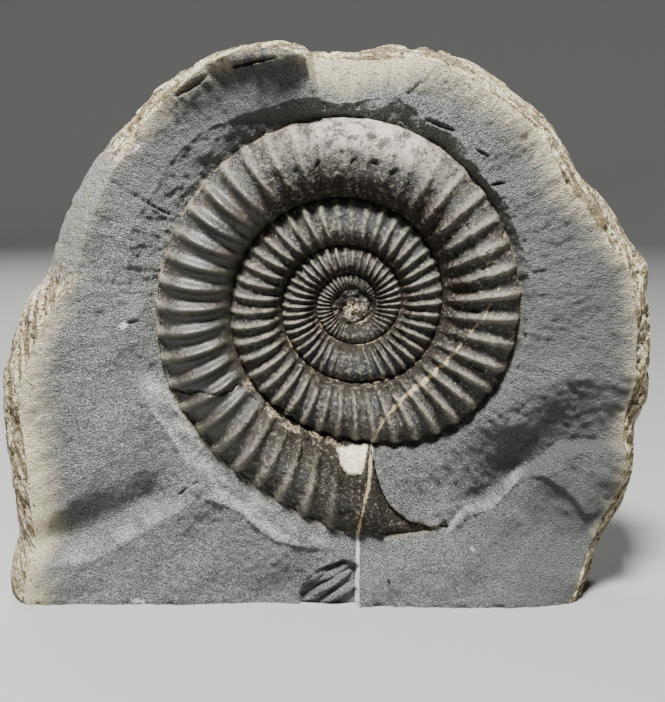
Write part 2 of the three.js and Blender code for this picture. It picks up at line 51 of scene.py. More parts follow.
# Outer edge of the coil, as (turned angle in degrees, radius). The angle runs on through the turns,
# so the edge of one whorl is the inner seam of the next.
COIL_EDGE = [
    (-2160, 0.02), (-1800, 0.02), (-1620, 1.4), (-1530, 2.6), (-1440, 3.3), (-1350, 3.5),
    (-1260, 3.2), (-1170, 3.3), (-1120, 3.9), (-1080, 4.7), (-1035, 6), (-990, 6.6), (-945, 6.9),
    (-900, 7), (-855, 7.05), (-810, 7.5),
    (-765, 8.5), (-720, 9.9), (-675, 11.1), (-630, 12.2), (-585, 13.3), (-540, 13.8), (-495, 14.3),
    (-450, 15.3), (-405, 17), (-360, 18.1), (-315, 19.9), (-270, 21.6), (-225, 23.1), (-180, 24),
    (-135, 25.4), (-105, 26.3), (-82, 28), (-60, 31), (-40, 32.9), (-20, 33.7), (0, 33.9),
    (20, 34), (45, 34.9), (60, 35.9), (90, 37.3), (120, 37.9), (150, 38.2), (180, 39), (205, 39.8),
    (225, 40.4), (240, 41.2), (250, 42.6), (262, 45), (274, 46.9), (285, 48.3), (294, 48.8),
]
CORNER_ANGLE = -82.0
TIP_ANGLE = 294.0

# Inner edge of the last, horn-shaped bit of the outer whorl, where stone covers the rest of it.
HORN_EDGE = [(278, 28), (279, 36), (281, 40.5), (285, 44.6), (290, 47.3), (294, 48.8)]

# Turned angles at which rib crests lie, with each crest's number. Crest 0 is right of the centre.
RIB_COUNT = [
    (-1800, -214), (-1162, -137), (-965, -113), (-924, -108), (-716, -83), (-650, -75),
    (-589.5, -68), (-509.5, -58), (-400, -45), (-288, -32), (-236, -26), (-113, -11), (-22, 0),
    (60, 9), (124, 17), (187, 25), (242, 32), (294, 39),
]

# Height of the seams and of the whorl's crest, by turned angle.
SEAM_HEIGHT = [
    (-2160, 7.9), (-1800, 8.1), (-1170, 8.5), (-802, 8.9), (-442, 9.5), (-120, 10.4), (-82, 10.4),
    (-30, 9.8), (40, 10), (90, 10), (185, 10), (212, 12.2), (262, 12.2), (294, 12.4),
]
CREST_HEIGHT = [
    (-1800, 8.7), (-1170, 9.2), (-1080, 9.4), (-900, 10), (-720, 10.6), (-540, 11.3), (-360, 12.2),
    (-180, 13.2), (-90, 14.2), (-60, 15), (0, 15.8), (90, 16.3), (294, 16.3),
]
HORN_INNER_HEIGHT = 12.6
RIB_HEIGHT = 0.05
RIB_LEAN = 1.5

# Widest outline of the nodule about the coil's centre, as (angle, radius).
# Between the two corners it is the sawn-off part, below the base.
NODULE_OUTLINE = [
    (-50.9, 79.8), (-43.6, 74.9), (-34, 71.9), (-24.5, 67), (-14.2, 65.2), (-3.7, 62.9), (1.7, 62.3),
    (7.3, 62.2), (12.6, 59.2), (23.7, 55.7), (29.3, 53.7), (41.2, 54.2), (53.1, 54.3), (65, 54.4),
    (76.8, 53.2), (88.8, 50.9), (94.7, 51.2), (100.5, 52.2), (106, 54.7), (117.2, 56.8),
    (128.2, 57.9), (139.2, 58.1), (149.6, 59.7), (159.9, 60.8), (169.8, 62.4), (174.6, 63.2),
    (179, 67.1), (183.5, 69.9), (192.5, 74.8), (201.5, 79.2), (210.3, 83.9), (214.6, 87.5),
    (220.2, 96.1), (245, 93), (270, 86), (290, 82), (309.1, 79.8),
]
LEFT_CORNER = 220.2
RIGHT_CORNER = 309.1
RIM_INSET = [
    (-51, 5), (-20, 6), (20, 6), (50, 5), (75, 4), (92, 3), (116, 2.8), (130, 4), (145, 6), (180, 8),
    (205, 8), (221, 6), (309.1, 5),
]


# Curves and noise
def smooth(low, high, value):
    share = np.clip((value - low) / (high - low), 0, 1)
    return share * share * (3 - 2 * share)


def polyline(points, place):
    places, values = np.array(points, float).T
    return np.interp(place, places, values)


def curve(points, place):
    """Smooth curve through (place, value) points."""
    places, values = np.array(points, float).T
    before = np.maximum(np.arange(len(places)) - 1, 0)
    after = np.minimum(np.arange(len(places)) + 1, len(places) - 1)
    slopes = (values[after] - values[before]) / (places[after] - places[before])
    inside = np.clip(place, places[0], places[-1])
    index = np.clip(np.searchsorted(places, inside) - 1, 0, len(places) - 2)
    length = places[index + 1] - places[index]
    u = (inside - places[index]) / length
    rise = u * u * (3 - 2 * u)
    level = values[index] * (1 - rise) + values[index + 1] * rise
    pull = slopes[index] * u * (1 - u) ** 2 - slopes[index + 1] * u * u * (1 - u)
    return level + pull * length


class Noise:
    """Smooth random field between -1 and 1, the same on every run."""

    SIZE = 64

    def __init__(self, seed):
        self.grid = np.random.default_rng(seed).uniform(-1, 1, (self.SIZE,) * 3)

    def at(self, x, y, z):
        x, y, z = np.broadcast_arrays(x, y, z)
        cells = []
        for value in (x, y, z):
            whole = np.floor(value).astype(int)
            part = value - whole
            eased = part**3 * (part * (part * 6 - 15) + 10)
            cells.append((whole % self.SIZE, (whole + 1) % self.SIZE, eased))
        (x0, x1, u), (y0, y1, v), (z0, z1, w) = cells
        near = self._face(x0, x1, y0, y1, z0, u, v)
        far = self._face(x0, x1, y0, y1, z1, u, v)
        return near + (far - near) * w

    def _face(self, x0, x1, y0, y1, z, u, v):
        low = self.grid[x0, y0, z] * (1 - u) + self.grid[x1, y0, z] * u
        high = self.grid[x0, y1, z] * (1 - u) + self.grid[x1, y1, z] * u
        return low + (high - low) * v

    def layers(self, x, y, z, size, count=4):
        """Sum of ever finer layers, the first with features of the given size."""
        total = 0
        share = 1.0
        for layer in range(count):
            scale = 2.03**layer / size
            shift = 17.3 * layer
            total = total + share * self.at(x * scale + shift, y * scale + shift, z * scale - shift)
            share *= 0.5
        return total


ROUGH = Noise(11)
BREAK = Noise(23)
GRAIN = Noise(37)


def ring(angle, radius):
    return radius * np.cos(np.radians(angle)), radius * np.sin(np.radians(angle))


def around_coil(angle, radius):
    x, z = ring(angle, radius)
    return COIL_X + x, COIL_Z + z


def polar(x, z, first_angle):
    """Radius and angle about the coil's centre, the angle from the first one on for one turn."""
    angle = np.degrees(np.arctan2(z - COIL_Z, x - COIL_X))
    return np.hypot(x - COIL_X, z - COIL_Z), np.where(angle < first_angle, angle + 360, angle)


def coil_polar(x, z):
    return polar(x, z, CORNER_ANGLE)


def line_distance(x, z, line):
    """Distance to a broken line."""
    best = np.full(np.shape(x), 1e9)
    for index in range(len(line) - 1):
        start_x, start_z = line[index]
        step_x = line[index + 1][0] - start_x
        step_z = line[index + 1][1] - start_z
        share = np.clip(((x - start_x) * step_x + (z - start_z) * step_z) / (step_x**2 + step_z**2), 0, 1)
        best = np.minimum(best, np.hypot(x - start_x - share * step_x, z - start_z - share * step_z))
    return best


def turned(x, z, ellipse):
    """Place along and across a turned ellipse, whose edge is at 1. The ellipse is given by its middle x and
    z, direction in degrees, half length and half width."""
    middle_x, middle_z, direction, long_half, wide_half = ellipse
    turn = math.radians(direction)
    along = ((x - middle_x) * math.cos(turn) + (z - middle_z) * math.sin(turn)) / long_half
    across = (-(x - middle_x) * math.sin(turn) + (z - middle_z) * math.cos(turn)) / wide_half
    return along, across


def window(value, start, full, full_end, end):
    """Rises from 0 at the start to 1 at full, and falls to 0 again at the end."""
    return smooth(start, full, value) * smooth(end, full_end, value)


def is_above(x, z, line):
    """Whether a point lies above a line that runs from left to right."""
    return z > polyline(line, x)


# The broken face
# Width of the wall between the coil's edge and the open face, by turned angle.
TROUGH_WIDTH = [
    (-82, 1), (-40, 1.2), (20, 1.6), (45, 1.8), (60, 2.4), (70, 3.4), (78, 5), (88, 3), (96, 1.8),
    (104, 4.4), (116, 5.2), (126, 6.4), (139, 7.4), (170, 6.4), (178, 3), (195, 2), (204, 5.7),
    (213, 8.5), (230, 7.9), (243, 5.4), (252, 6.6), (263, 4.5), (278, 2.5), (294, 1.2),
]
TROUGH_LEAST_WIDTH = 0.8
TROUGH_ROUGH = 0.28
TROUGH_STEP_SHARE = 0.06
VALLEY_TOP = [(-68, 15), (-57.6, 20.7), (-48.2, 25.2), (-37.6, 30.4), (-35.3, 33.8)]
VALLEY_RIDGE = [
    (-66, 8), (-52, 9.3), (-46.7, 10.8), (-41, 14.2), (-34.2, 18.8), (-29.4, 21.8), (-26, 24.5), (-22, 25.5),
]
VALLEY_DEPTH = 3.6
VALLEY_FLOOR = 0.62
CRACK_LINE = [
    (24, 15), (28.6, 19.8), (33.5, 21.1), (38.5, 26.2), (44.5, 29.8), (48, 33), (58, 33.5), (67, 34.5),
]
HOLLOW_DEPTH = 5.6
HOLLOW_REACH = 14.5
VEIN = [
    (6.3, -1), (6.4, 16), (7, 20), (8.5, 27), (9.3, 35), (11.5, 40), (16, 45), (20, 48), (24, 52),
    (31, 61), (34, 67),
]
VEIN_X = 6.3
VEIN_HALF_WIDTH = [
    (-1, 0.38), (8, 0.42), (16, 0.3), (20, 0.22), (26, 0.3), (33, 0.3), (40, 0.28), (47, 0.42),
    (51, 0.33), (56, 0.1), (67, 0.1),
]


def vein_edge(x, z):
    """Distance from the vein's edge, below 0 inside it."""
    distance = line_distance(x, z, VEIN)
    return distance - polyline(VEIN_HALF_WIDTH, z)


def horn_at(angle):
    """Inner and outer radius of the horn in a direction it crosses."""
    run_on = np.minimum(angle + 360, TIP_ANGLE)
    return polyline(HORN_EDGE, run_on), curve(COIL_EDGE, run_on)


def coil_distance(x, z):
    """How far outside the shell a point lies. It is below 0 under the shell."""
    radius, angle = coil_polar(x, z)
    outside = radius - curve(COIL_EDGE, angle)
    inner, outer = horn_at(angle)
    by_horn = np.where(radius > (inner + outer) / 2, radius - outer, np.minimum(outside, inner - radius))
    return np.where(angle + 360 > TIP_ANGLE, outside, by_horn)


def trough(x, z):
    """Broken-away margin outside the coil. At the upper left it has a low step at its outer edge."""
    radius, angle = coil_polar(x, z)
    inner, outer = horn_at(angle)
    past_horn = (angle + 360 < TIP_ANGLE) & (radius > (inner + outer) / 2)
    distance = radius - np.where(past_horn, outer, curve(COIL_EDGE, angle))
    run_on = np.where(past_horn, angle + 360, angle)
    ragged = BREAK.layers(x, 3.3, z, 6, 4)
    width = np.maximum(TROUGH_LEAST_WIDTH, polyline(TROUGH_WIDTH, run_on) + ragged)
    slope = np.clip(1 - distance / width, 0, 1)
    upper = window(angle, 58, 75, 165, 182)
    step = smooth(0, 0.1, slope)
    lumps = BREAK.layers(x, 9.3, z, 2.2, 4) * smooth(0, 0.2, slope) * smooth(1.3, 0.7, slope)
    depth = FACE_LEVEL - polyline(SEAM_HEIGHT, run_on)
    stepped = TROUGH_STEP_SHARE * step + (1 - TROUGH_STEP_SHARE) * slope
    fall = slope * (1 - upper) + stepped * upper
    return depth * fall + TROUGH_ROUGH * lumps * (0.3 + 0.7 * upper)


# Broken ridge of the stone below and left of the coil.
BAND_RIDGE = [
    (-36, 43), (-31, 36), (-26.5, 25.3), (-20.8, 22.4), (-16.8, 20.3), (-13.3, 17), (-10.6, 14.9), (0, 12.6),
]
BAND_HEIGHT = 1.8
BAND_REACH_ABOVE = 9
BAND_REACH_BELOW = 13


def band(x, z):
    """The stone rises to the broken ridge, and falls off gently past it."""
    ragged = 0.8 * BREAK.at(x / 3, 2.5, z / 3)
    ridge = line_distance(x + ragged, z, BAND_RIDGE)
    above = smooth(BAND_REACH_ABOVE, 0, ridge)
    below = 0.75 * smooth(BAND_REACH_BELOW, 0, ridge) + 0.25 * smooth(1.2, 0, ridge)
    rise = BAND_HEIGHT * np.where(is_above(x + ragged, z, BAND_RIDGE), above, below)
    return rise * smooth(-42, -34, x) * smooth(4, -6, x)


WEDGE_HEIGHT = 0.9
WEDGE_REACH = 7


def wedge(x, z):
    """Between the coil and the horn the stone rises to the horn's inner edge."""
    radius, angle = coil_polar(x, z)
    inner, _ = horn_at(angle)
    inside = smooth(TIP_ANGLE, TIP_ANGLE - 3, angle + 360)
    return WEDGE_HEIGHT * smooth(WEDGE_REACH, 0.5, inner - radius) * inside


FACET_FOOT = 100.5
FACET_LEAN = 0.68
FACET_RIGHT = (10.5, 0.57)
FACET_LEFT = (-0.6, 7.0)
FACET_LEFT_SLANT = 0.2


def top_facet(x, z):
    """Flake scar at the top, leaning back as it rises. Its sides rise from an edge, each by a lean."""
    right_x, right_lean = FACET_RIGHT
    left_x, left_lean = FACET_LEFT
    right = right_lean * np.maximum(0, x - right_x)
    left = left_lean * np.maximum(0, left_x - FACET_LEFT_SLANT * (z - 101) - x)
    return FACE_LEVEL - FACET_LEAN * (z - FACET_FOOT) + right + left


LIP_SCAR_X = -12
LIP_SCAR_Z = 104.4
LIP_SCAR_HALF_WIDTH = 11
LIP_SCAR_HALF_HEIGHT = 4.6


def lip_scar(x, z):
    """Scar left of the top facet, 1 mm deep, sunk under a lip of rind."""
    across = smooth(1, 0.6, np.abs(x - LIP_SCAR_X) / LIP_SCAR_HALF_WIDTH)
    rise = (z - LIP_SCAR_Z - 0.1 * (x - LIP_SCAR_X)) / LIP_SCAR_HALF_HEIGHT
    return across * smooth(1, 0.9, rise) * smooth(-1.6, 0.9, rise)


def valley(x, z):
    """Valley at the lower left, between a soft upper edge and a sharp ridge."""
    top = line_distance(x, z, VALLEY_TOP)
    ridge = line_distance(x, z, VALLEY_RIDGE)
    share = top / (top + ridge + 1e-6)
    fade = smooth(-30, -38, x) * (0.3 + 0.7 * smooth(-64, -52, x))
    to_floor = smooth(0, VALLEY_FLOOR, share)
    to_ridge = np.clip((1 - share) / (1 - VALLEY_FLOOR), 0, 1)
    inside = is_above(x, z, VALLEY_RIDGE) & ~is_above(x, z, VALLEY_TOP)
    return np.where(inside, VALLEY_DEPTH * fade * to_floor * to_ridge, 0)


def hollow(x, z):
    """Hollow above the cracked line at the lower right. The block below the line stands proud."""
    crack = line_distance(x, z, CRACK_LINE)
    near = np.clip(1 - crack / HOLLOW_REACH, 0, 1)
    depth = HOLLOW_DEPTH * near * smooth(20, 37, x) * (1 - 0.6 * smooth(52, 63, x))
    return np.where(is_above(x, z, CRACK_LINE), depth * smooth(0, 0.5, crack), 0)


CORNER_FACET_X = 39
CORNER_FACET_Z = 12
CORNER_FACET_LEAN = (0.16, 0.06)


def corner_facet(x, z):
    """The face falls back to the right near its lower right corner."""
    lean_x, lean_z = CORNER_FACET_LEAN
    fall = lean_x * (x - CORNER_FACET_X) + lean_z * (z - CORNER_FACET_Z)
    return np.maximum(0, fall) * smooth(34, 10, z)


# Splintered chip at the foot: a shallow pocket with slanting lobes left standing in it.
CHIP_DEPTH = 1.7
CHIP_TOP = [(-6, 1.5), (-4, 6.5), (-1.5, 8.4), (2.7, 9.9), (6.3, 9.2)]
# Each lobe is an ellipse and its height.
CHIP_LOBES = [
    (-2.6, 6.1, 33, 3.6, 0.95, 1.5), (1.2, 6.9, 27, 4.8, 1.0, 1.3), (0.6, 4.3, 34, 5.6, 1.05, 1.7),
    (2.6, 2.4, 31, 4.6, 1.1, 1.6), (-2.4, 1.6, 24, 3.0, 0.9, 1.1),
]


def chip(x, z):
    """The chip ends on the right at the vein's straight line."""
    top = polyline(CHIP_TOP, x) + 0.5 * ROUGH.at(x / 2, 0.5, z / 2)
    inside = smooth(-6.3, -4.6, x) * smooth(top, top - 0.9, z) * smooth(VEIN_X + 0.12, VEIN_X - 0.12, x)
    stand = np.zeros(np.shape(x))
    for *lobe, high in CHIP_LOBES:
        along, across = turned(x, z, lobe)
        stand = np.maximum(stand, high * np.sqrt(np.clip(1 - along**2 - np.abs(across) ** 2.5, 0, 1)))
    return inside * np.maximum(0, CHIP_DEPTH - stand)


RIDGE_RIGHT = [
    (34.5, 21.5), (36, 20.6), (40.4, 17.4), (42.2, 12.9), (43, 7.3), (46, 6.2), (51.1, 5.5), (60, 4.6),
]
RIDGE_STEP = 0.9
STREAK_RIGHT = [(45, 27.4), (48.5, 24.8), (51.7, 21.7), (53, 19)]
STREAK_HEIGHT = 0.8


def right_block(x, z):
    """Shallow step down to the right of a curved ridge at the lower right, and a raised streak."""
    ridge = line_distance(x, z, RIDGE_RIGHT)
    streak = line_distance(x, z, STREAK_RIGHT)
    step = np.where(is_above(x, z, RIDGE_RIGHT), RIDGE_STEP * smooth(0, 2.2, ridge) * smooth(16, 6, ridge), 0)
    reach = np.where(is_above(x, z, STREAK_RIGHT), 5, 0.6)
    return step - STREAK_HEIGHT * smooth(reach, 0, streak) * smooth(33, 30, z)


FOOT_SET_BACK = 0.8
VEIN_STEP = 0.9


def foot_change(x, z):
    """Near the base the face is set back at the left, and stands proud to the right of the vein."""
    back = FOOT_SET_BACK * smooth(18, 4, np.abs(x + 20)) * smooth(14, 0, z)
    past_vein = smooth(VEIN_X - 0.2, VEIN_X + 0.2, x)
    return VEIN_STEP * past_vein * smooth(16, 8, z) - back


OVERHANG_FOOT = 98.5
OVERHANG_RISE = 12
OVERHANG_DEPTH = 4.4


def overhang(x, z):
    """Left of the top facet the face leans forward, so it is in shade."""
    rise = np.clip((z - OVERHANG_FOOT) / OVERHANG_RISE, 0, 1)
    return OVERHANG_DEPTH * rise * smooth(0, -1.2, x) * smooth(-38, -18, x)


# Long waves of the whole face: height, turn per millimetre in x and in z, and start.
SWELLS = [(0.35, 0.21, 0.13, 0.4), (0.25, -0.17, 0.31, 1.9), (0.18, 0.47, -0.39, 4.2)]


def swell(x, z):
    return sum(height * np.sin(turn_x * x + turn_z * z + start) for height, turn_x, turn_z, start in SWELLS)


# Short nicks and pits of the face, each an ellipse and its depth.
NICKS = [
    (33.2, 86.4, 8, 1.9, 0.4, 1.0), (30.2, 92.3, -28, 1.8, 0.45, 0.9), (34.6, 83.6, 6, 1.1, 0.25, 0.4),
    (-42.6, 90.3, 35, 1.3, 0.5, 1.1), (-25.5, 104.9, 32, 4.0, 0.8, 1.5), (-14.6, 109.0, 10, 5.6, 0.55, 2.2),
    (-29.2, 24.8, 38, 1.9, 0.4, 0.5), (-26.6, 26.6, 30, 1.2, 0.3, 0.4),
    (22, 97.6, -22, 4.0, 0.7, 1.1), (51, 56, -15, 2.0, 0.3, 0.4), (49.5, 45.6, -60, 2.4, 0.9, 0.4),
    (8.4, 103.6, 20, 1.6, 0.3, 0.3), (-38.6, 59.4, 15, 1.8, 0.5, 0.5), (17, 104.6, 40, 3.0, 0.35, 0.35),
    (-0.2, 102.6, 70, 1.9, 0.3, 0.5), (35.5, 77.2, -60, 1.4, 0.4, 0.6), (38.4, 64.6, -80, 1.2, 0.35, 0.5),
]
NICK_RAGGED = 0.15
HAIR_CRACK = [(-46.5, 90), (-38, 84.5), (-31, 80.5)]
# Round knob under the lip: x, z and radius.
BEAD = (-13, 108.3, 0.8)


def nicks(x, z):
    depth = np.zeros(np.shape(x))
    for *nick, deep in NICKS:
        along, across = turned(x, z, nick)
        depth += deep * smooth(1, 0.3, np.hypot(along, across) + NICK_RAGGED * ROUGH.at(x, 7.7, z))
    crack = line_distance(x, z, HAIR_CRACK)
    bead_x, bead_z, bead_radius = BEAD
    bead = np.sqrt(np.maximum(0, bead_radius**2 - (x - bead_x) ** 2 - (z - bead_z) ** 2))
    return depth + 0.5 * smooth(0.35, 0.05, crack) - 1.4 * bead


LONG_RIPPLE = 0.16
SHORT_RIPPLE = 0.18
FACE_GRAIN = 0.12
RIPPLE_RING = 40


def hackle(x, z):
    """Low ripples that run out from the coil, finer and plainer near the base."""
    radius, angle = coil_polar(x, z)
    ring_x, ring_z = ring(angle, RIPPLE_RING)
    long_ripples = GRAIN.at(ring_x / 1.7, radius / 5.5, ring_z / 1.7)
    short_ripples = GRAIN.at(ring_x / 0.85, radius / 2.2 + 9.5, ring_z / 0.85)
    rippled = smooth(12, 26, z) * smooth(0, 3, coil_distance(x, z))
    grain = GRAIN.layers(x, 4.5, z, 1.2, 2)
    return (LONG_RIPPLE * long_ripples + SHORT_RIPPLE * short_ripples) * rippled + FACE_GRAIN * grain


EDGE_CRUST = 0.35
CRACK_BEADS = 0.6
FACE_RELIEF = 0.26
DEEPEST_UNDER_SHELL = 3.5


def face_height(x, z):
    distance = coil_distance(x, z)
    plain = FACE_LEVEL + foot_change(x, z) - lip_scar(x, z) - corner_facet(x, z) + overhang(x, z)
    broken = np.minimum(plain, top_facet(x, z)) - valley(x, z) - hollow(x, z) - chip(x, z) - right_block(x, z)
    waves = swell(x, z) * smooth(0, 4, distance)
    low = broken - trough(x, z) + wedge(x, z) + band(x, z) - nicks(x, z) + waves
    crust = EDGE_CRUST * BREAK.layers(x, 1.5, z, 1.6, 3) * smooth(3.0, 0, np.abs(distance - 0.3))
    crack = line_distance(x + 0.5 * BREAK.at(x / 2, 0, z / 2), z, CRACK_LINE)
    beads = 0.5 + 0.8 * BREAK.layers(x, 6.5, z, 1.2, 3)
    crust = crust + CRACK_BEADS * beads * smooth(0.8, 0.1, crack) * smooth(24, 27, x) * smooth(44, 38, x)
    relief = FACE_RELIEF * ROUGH.layers(x, 2.5, z, 7, 4) * smooth(0, 3, distance)
    under_shell = np.clip(-2.5 * (distance + 0.2), 0, DEEPEST_UNDER_SHELL)
    return low + crust + relief + hackle(x, z) - under_shell


# Meshes
def make_object(name, x, height, z, quads, attributes):
    """Mesh from a grid of places in millimetres, with numbers stored at its corners for the material."""
    corners = np.stack([x, -height, z], axis=-1).reshape(-1, 3)
    mesh = bpy.data.meshes.new(name)
    mesh.vertices.add(len(corners))
    mesh.vertices.foreach_set("co", (corners * MM).astype(np.float32).ravel())
    mesh.loops.add(quads.size)
    mesh.loops.foreach_set("vertex_index", quads.astype(np.int32).ravel())
    mesh.polygons.add(len(quads))
    mesh.polygons.foreach_set("loop_start", np.arange(0, quads.size, 4, dtype=np.int32))
    mesh.polygons.foreach_set("use_smooth", np.ones(len(quads), dtype=bool))
    for label, values in attributes.items():
        layer = mesh.attributes.new(label, "FLOAT", "POINT")
        layer.data.foreach_set("value", np.ravel(values).astype(np.float32))
    mesh.update(calc_edges=True)
    mesh.validate()
    piece = bpy.data.objects.new(name, mesh)
    bpy.context.scene.collection.objects.link(piece)
    return piece


def grid_quads(rows, columns, closed):
    """Quads of a grid whose rows are rings (closed) or plain lines. Rings that run outwards face out."""
    row = np.arange(rows - 1)[:, None]
    column = np.arange(columns if closed else columns - 1)[None, :]
    beside = (column + 1) % columns
    start, end = row * columns, (row + 1) * columns
    corners = [start + column, end + column, end + beside, start + beside]
    spread = [np.broadcast_to(corner, (rows - 1, column.size)) for corner in corners]
    return np.stack(spread, axis=-1).reshape(-1, 4)


# The stone
FACE_COLUMNS = 900
FACE_RINGS = 104
RIM_RINGS = 34
BACK_RINGS = 40
BASE_COLUMN_SHARE = 0.3
FACE_START_INSET = 1.6
RIM_WOBBLE = 0.14
RIM_WOBBLE_RING = 9
BACK_POWER = 2.4
HALF_WIDTH = 66
HALF_HEIGHT = 64
HALF_DEPTH = 16
MIDDLE_Z = 50


def outline_radius(direction):
    return curve(NODULE_OUTLINE, np.where(direction > RIGHT_CORNER, direction - 360, direction))


def column_directions():
    """Directions of the stone's columns, with a column exactly at each corner of the base."""
    base_count = int(FACE_COLUMNS * BASE_COLUMN_SHARE)
    arch_count = FACE_COLUMNS - base_count
    base_x = np.linspace(corner_x(LEFT_CORNER), corner_x(RIGHT_CORNER), base_count, endpoint=False)
    base = np.degrees(np.arctan2(-COIL_Z, base_x - COIL_X)) % 360
    arch = np.linspace(RIGHT_CORNER - 360, LEFT_CORNER, arch_count, endpoint=False)
    return np.concatenate([arch, base])


def corner_x(direction):
    return float(around_coil(direction, outline_radius(np.array(float(direction))))[0])


def on_base(direction):
    return direction >= LEFT_CORNER - 1e-6


def outline_points(direction, inset):
    """Points of the stone's outline, drawn in by an inset. The base line stays on the base."""
    left, right = corner_x(LEFT_CORNER), corner_x(RIGHT_CORNER)
    base_x = COIL_X - COIL_Z / np.tan(np.radians(direction))
    share = np.clip((base_x - left) / (right - left), 0, 1)
    drawn_x = left + inset + (right - left - 2 * inset) * share
    x, z = around_coil(direction, outline_radius(direction))
    inward_x = -np.cos(np.radians(direction))
    inward_z = -np.sin(np.radians(direction)) * smooth(0, 30, z)
    length = np.hypot(inward_x, inward_z)
    arch_x = x + inward_x / length * inset
    arch_z = np.maximum(0, z + inward_z / length * inset)
    base = on_base(direction)
    return np.where(base, drawn_x, arch_x), np.where(base, 0, arch_z)


def rim_inset(direction):
    ring_x, ring_z = ring(direction, RIM_WOBBLE_RING)
    wobble = ROUGH.layers(ring_x, ring_z, 0.5, 2.2, 3)
    fade = smooth(0, 12, around_coil(direction, outline_radius(direction))[1])
    return polyline(RIM_INSET, direction) * (1 + RIM_WOBBLE * wobble * fade)


def back_height(x, z):
    """Height of the back. It lies behind the middle plane, so it is negative."""
    radius, angle = polar(x, z, NODULE_OUTLINE[0][0])
    share = np.clip(radius / curve(NODULE_OUTLINE, angle), 0, 1)
    return -WIDEST_Y - BACK_DEPTH * np.sqrt(1 - share**BACK_POWER)


# Depths of the weathered skin, in millimetres, and the radius at which its layers are counted.
SKIN_DEPTH = 0.9
SKIN_PLAIN = 0.35
SKIN_KNOBS = 0.55
SKIN_LAYERS = 0.35
SKIN_PITS = 0.7
SKIN_RING = 60


def weathered(x, y, z, direction, share):
    """How far the weathered skin stands in from the plain nodule: thin layers, knobs and pits."""
    ring_x, ring_z = ring(direction, SKIN_RING)
    thick = ROUGH.at(ring_x / 9, share * 7, ring_z / 9)
    thin = ROUGH.at(ring_x / 4, share * 16, ring_z / 4)
    knobs = BREAK.layers(x, y, z, 6, 4)
    pits = smooth(0.15, 0.6, GRAIN.layers(x, y, z, 2.4, 3))
    layered = thick + 0.7 * thin
    return SKIN_DEPTH * (SKIN_PLAIN + SKIN_KNOBS * knobs + SKIN_LAYERS * layered + SKIN_PITS * pits)


def clean_bevel(direction):
    """Where the rim's upper left is a smooth grey facet with no rind."""
    return window(direction, 144, 151, 171, 177)


def face_grid(direction, inset):
    """Places of the face's corners. The first ring lies under the coil's edge, and slides in at the horn."""
    _, angle = coil_polar(*around_coil(direction, 10.0))
    radius = curve(COIL_EDGE, angle) - FACE_START_INSET
    horn = smooth(262, 277, angle)
    corner_radius = curve(COIL_EDGE, np.full_like(angle, CORNER_ANGLE)) - FACE_START_INSET
    start_x, start_z = around_coil(direction, radius * (1 - horn) + corner_radius * horn)
    edge_x, edge_z = outline_points(direction, inset)
    steps = np.linspace(0, 1, FACE_RINGS)[:, None]
    steps = steps * 0.75 + 0.25 * steps**2
    return start_x + (edge_x - start_x) * steps, start_z + (edge_z - start_z) * steps


def skin_grid(direction, inset, front):
    """The stone's skin, ring by ring round the rim and over the back. Returns the places of its corners,
    how far across the rim each ring lies, and how strongly it weathers. The base stays plain."""
    base = on_base(direction)
    share = np.linspace(1, 0, RIM_RINGS)[:, None]
    rim_x, rim_z = outline_points(direction[None, :], inset * share)
    back = np.where(base, back_height(rim_x, 0), -WIDEST_Y)
    rise = np.where(base, share, 0.25 * share + 0.75 * np.sqrt(1 - (1 - share) ** 2))
    scale = np.linspace(1, 0, BACK_RINGS + 1)[1:, None]
    scale = np.sqrt(scale * (2 - scale)) * 0.5 + scale * 0.5
    scale[-1] = 0.01
    back_x = COIL_X + (rim_x[-1] - COIL_X) * scale
    back_z = COIL_Z + (rim_z[-1] - COIL_Z) * scale
    x = np.concatenate([rim_x, back_x])
    z = np.concatenate([rim_z, back_z])
    height = np.concatenate([back + (front - back) * rise, back_height(back_x, back_z)])
    depth = np.broadcast_to(share, rim_x.shape)
    across = np.concatenate([1 - depth, 1 + 3 * (1 - np.broadcast_to(scale, back_x.shape))])
    fade = np.concatenate([smooth(1, 0.9, depth), np.ones_like(back_x)])
    return x, z, height, across, fade


def make_face(direction, face_x, face_z, height):
    base = on_base(direction)
    outline_x, outline_z = outline_points(direction, 0)
    border = np.hypot(face_x - outline_x, face_z - outline_z)
    side = np.where(base, corner_reach(face_x), border) - polyline(STAIN_REACH, direction)
    return make_object(
        "stone_face",
        face_x,
        height,
        face_z,
        grid_quads(FACE_RINGS, FACE_COLUMNS, True),
        {
            "vein": vein_edge(face_x, face_z),
            "border": side,
            "coil": coil_distance(face_x, face_z),
            "pale": pale(face_x, face_z),
        },
    )


def make_rind(direction, inset, front):
    x, z, height, across, fade = skin_grid(direction, inset, front)
    rows = RIM_RINGS + BACK_RINGS
    sawn = on_base(direction)[None, :] & (np.arange(rows) < RIM_RINGS)[:, None]
    fade = fade * np.where(sawn, 0, 1)
    clean = clean_bevel(direction) * smooth(1.3, 0.8, across)

    # Weathering moves the skin inwards, towards the nodule's middle.
    out_x = (x - COIL_X) / HALF_WIDTH
    out_z = (z - MIDDLE_Z) / HALF_HEIGHT
    out_h = height / HALF_DEPTH
    length = np.sqrt(out_x**2 + out_z**2 + out_h**2) + 1e-6
    inward = weathered(x, height, z, direction, across) * fade * (1 - 0.7 * clean)
    x = x - inward * out_x / length
    height = height - inward * out_h / length
    z = np.maximum(0, z - inward * out_z / length * smooth(0, 4, z))
    rind = make_object(
        "stone_rind",
        x,
        height,
        z,
        grid_quads(rows, FACE_COLUMNS, True),
        {"across": across, "clean": clean, "sawn": sawn},
    )
    close_ring(rind, rows, FACE_COLUMNS)
    return rind


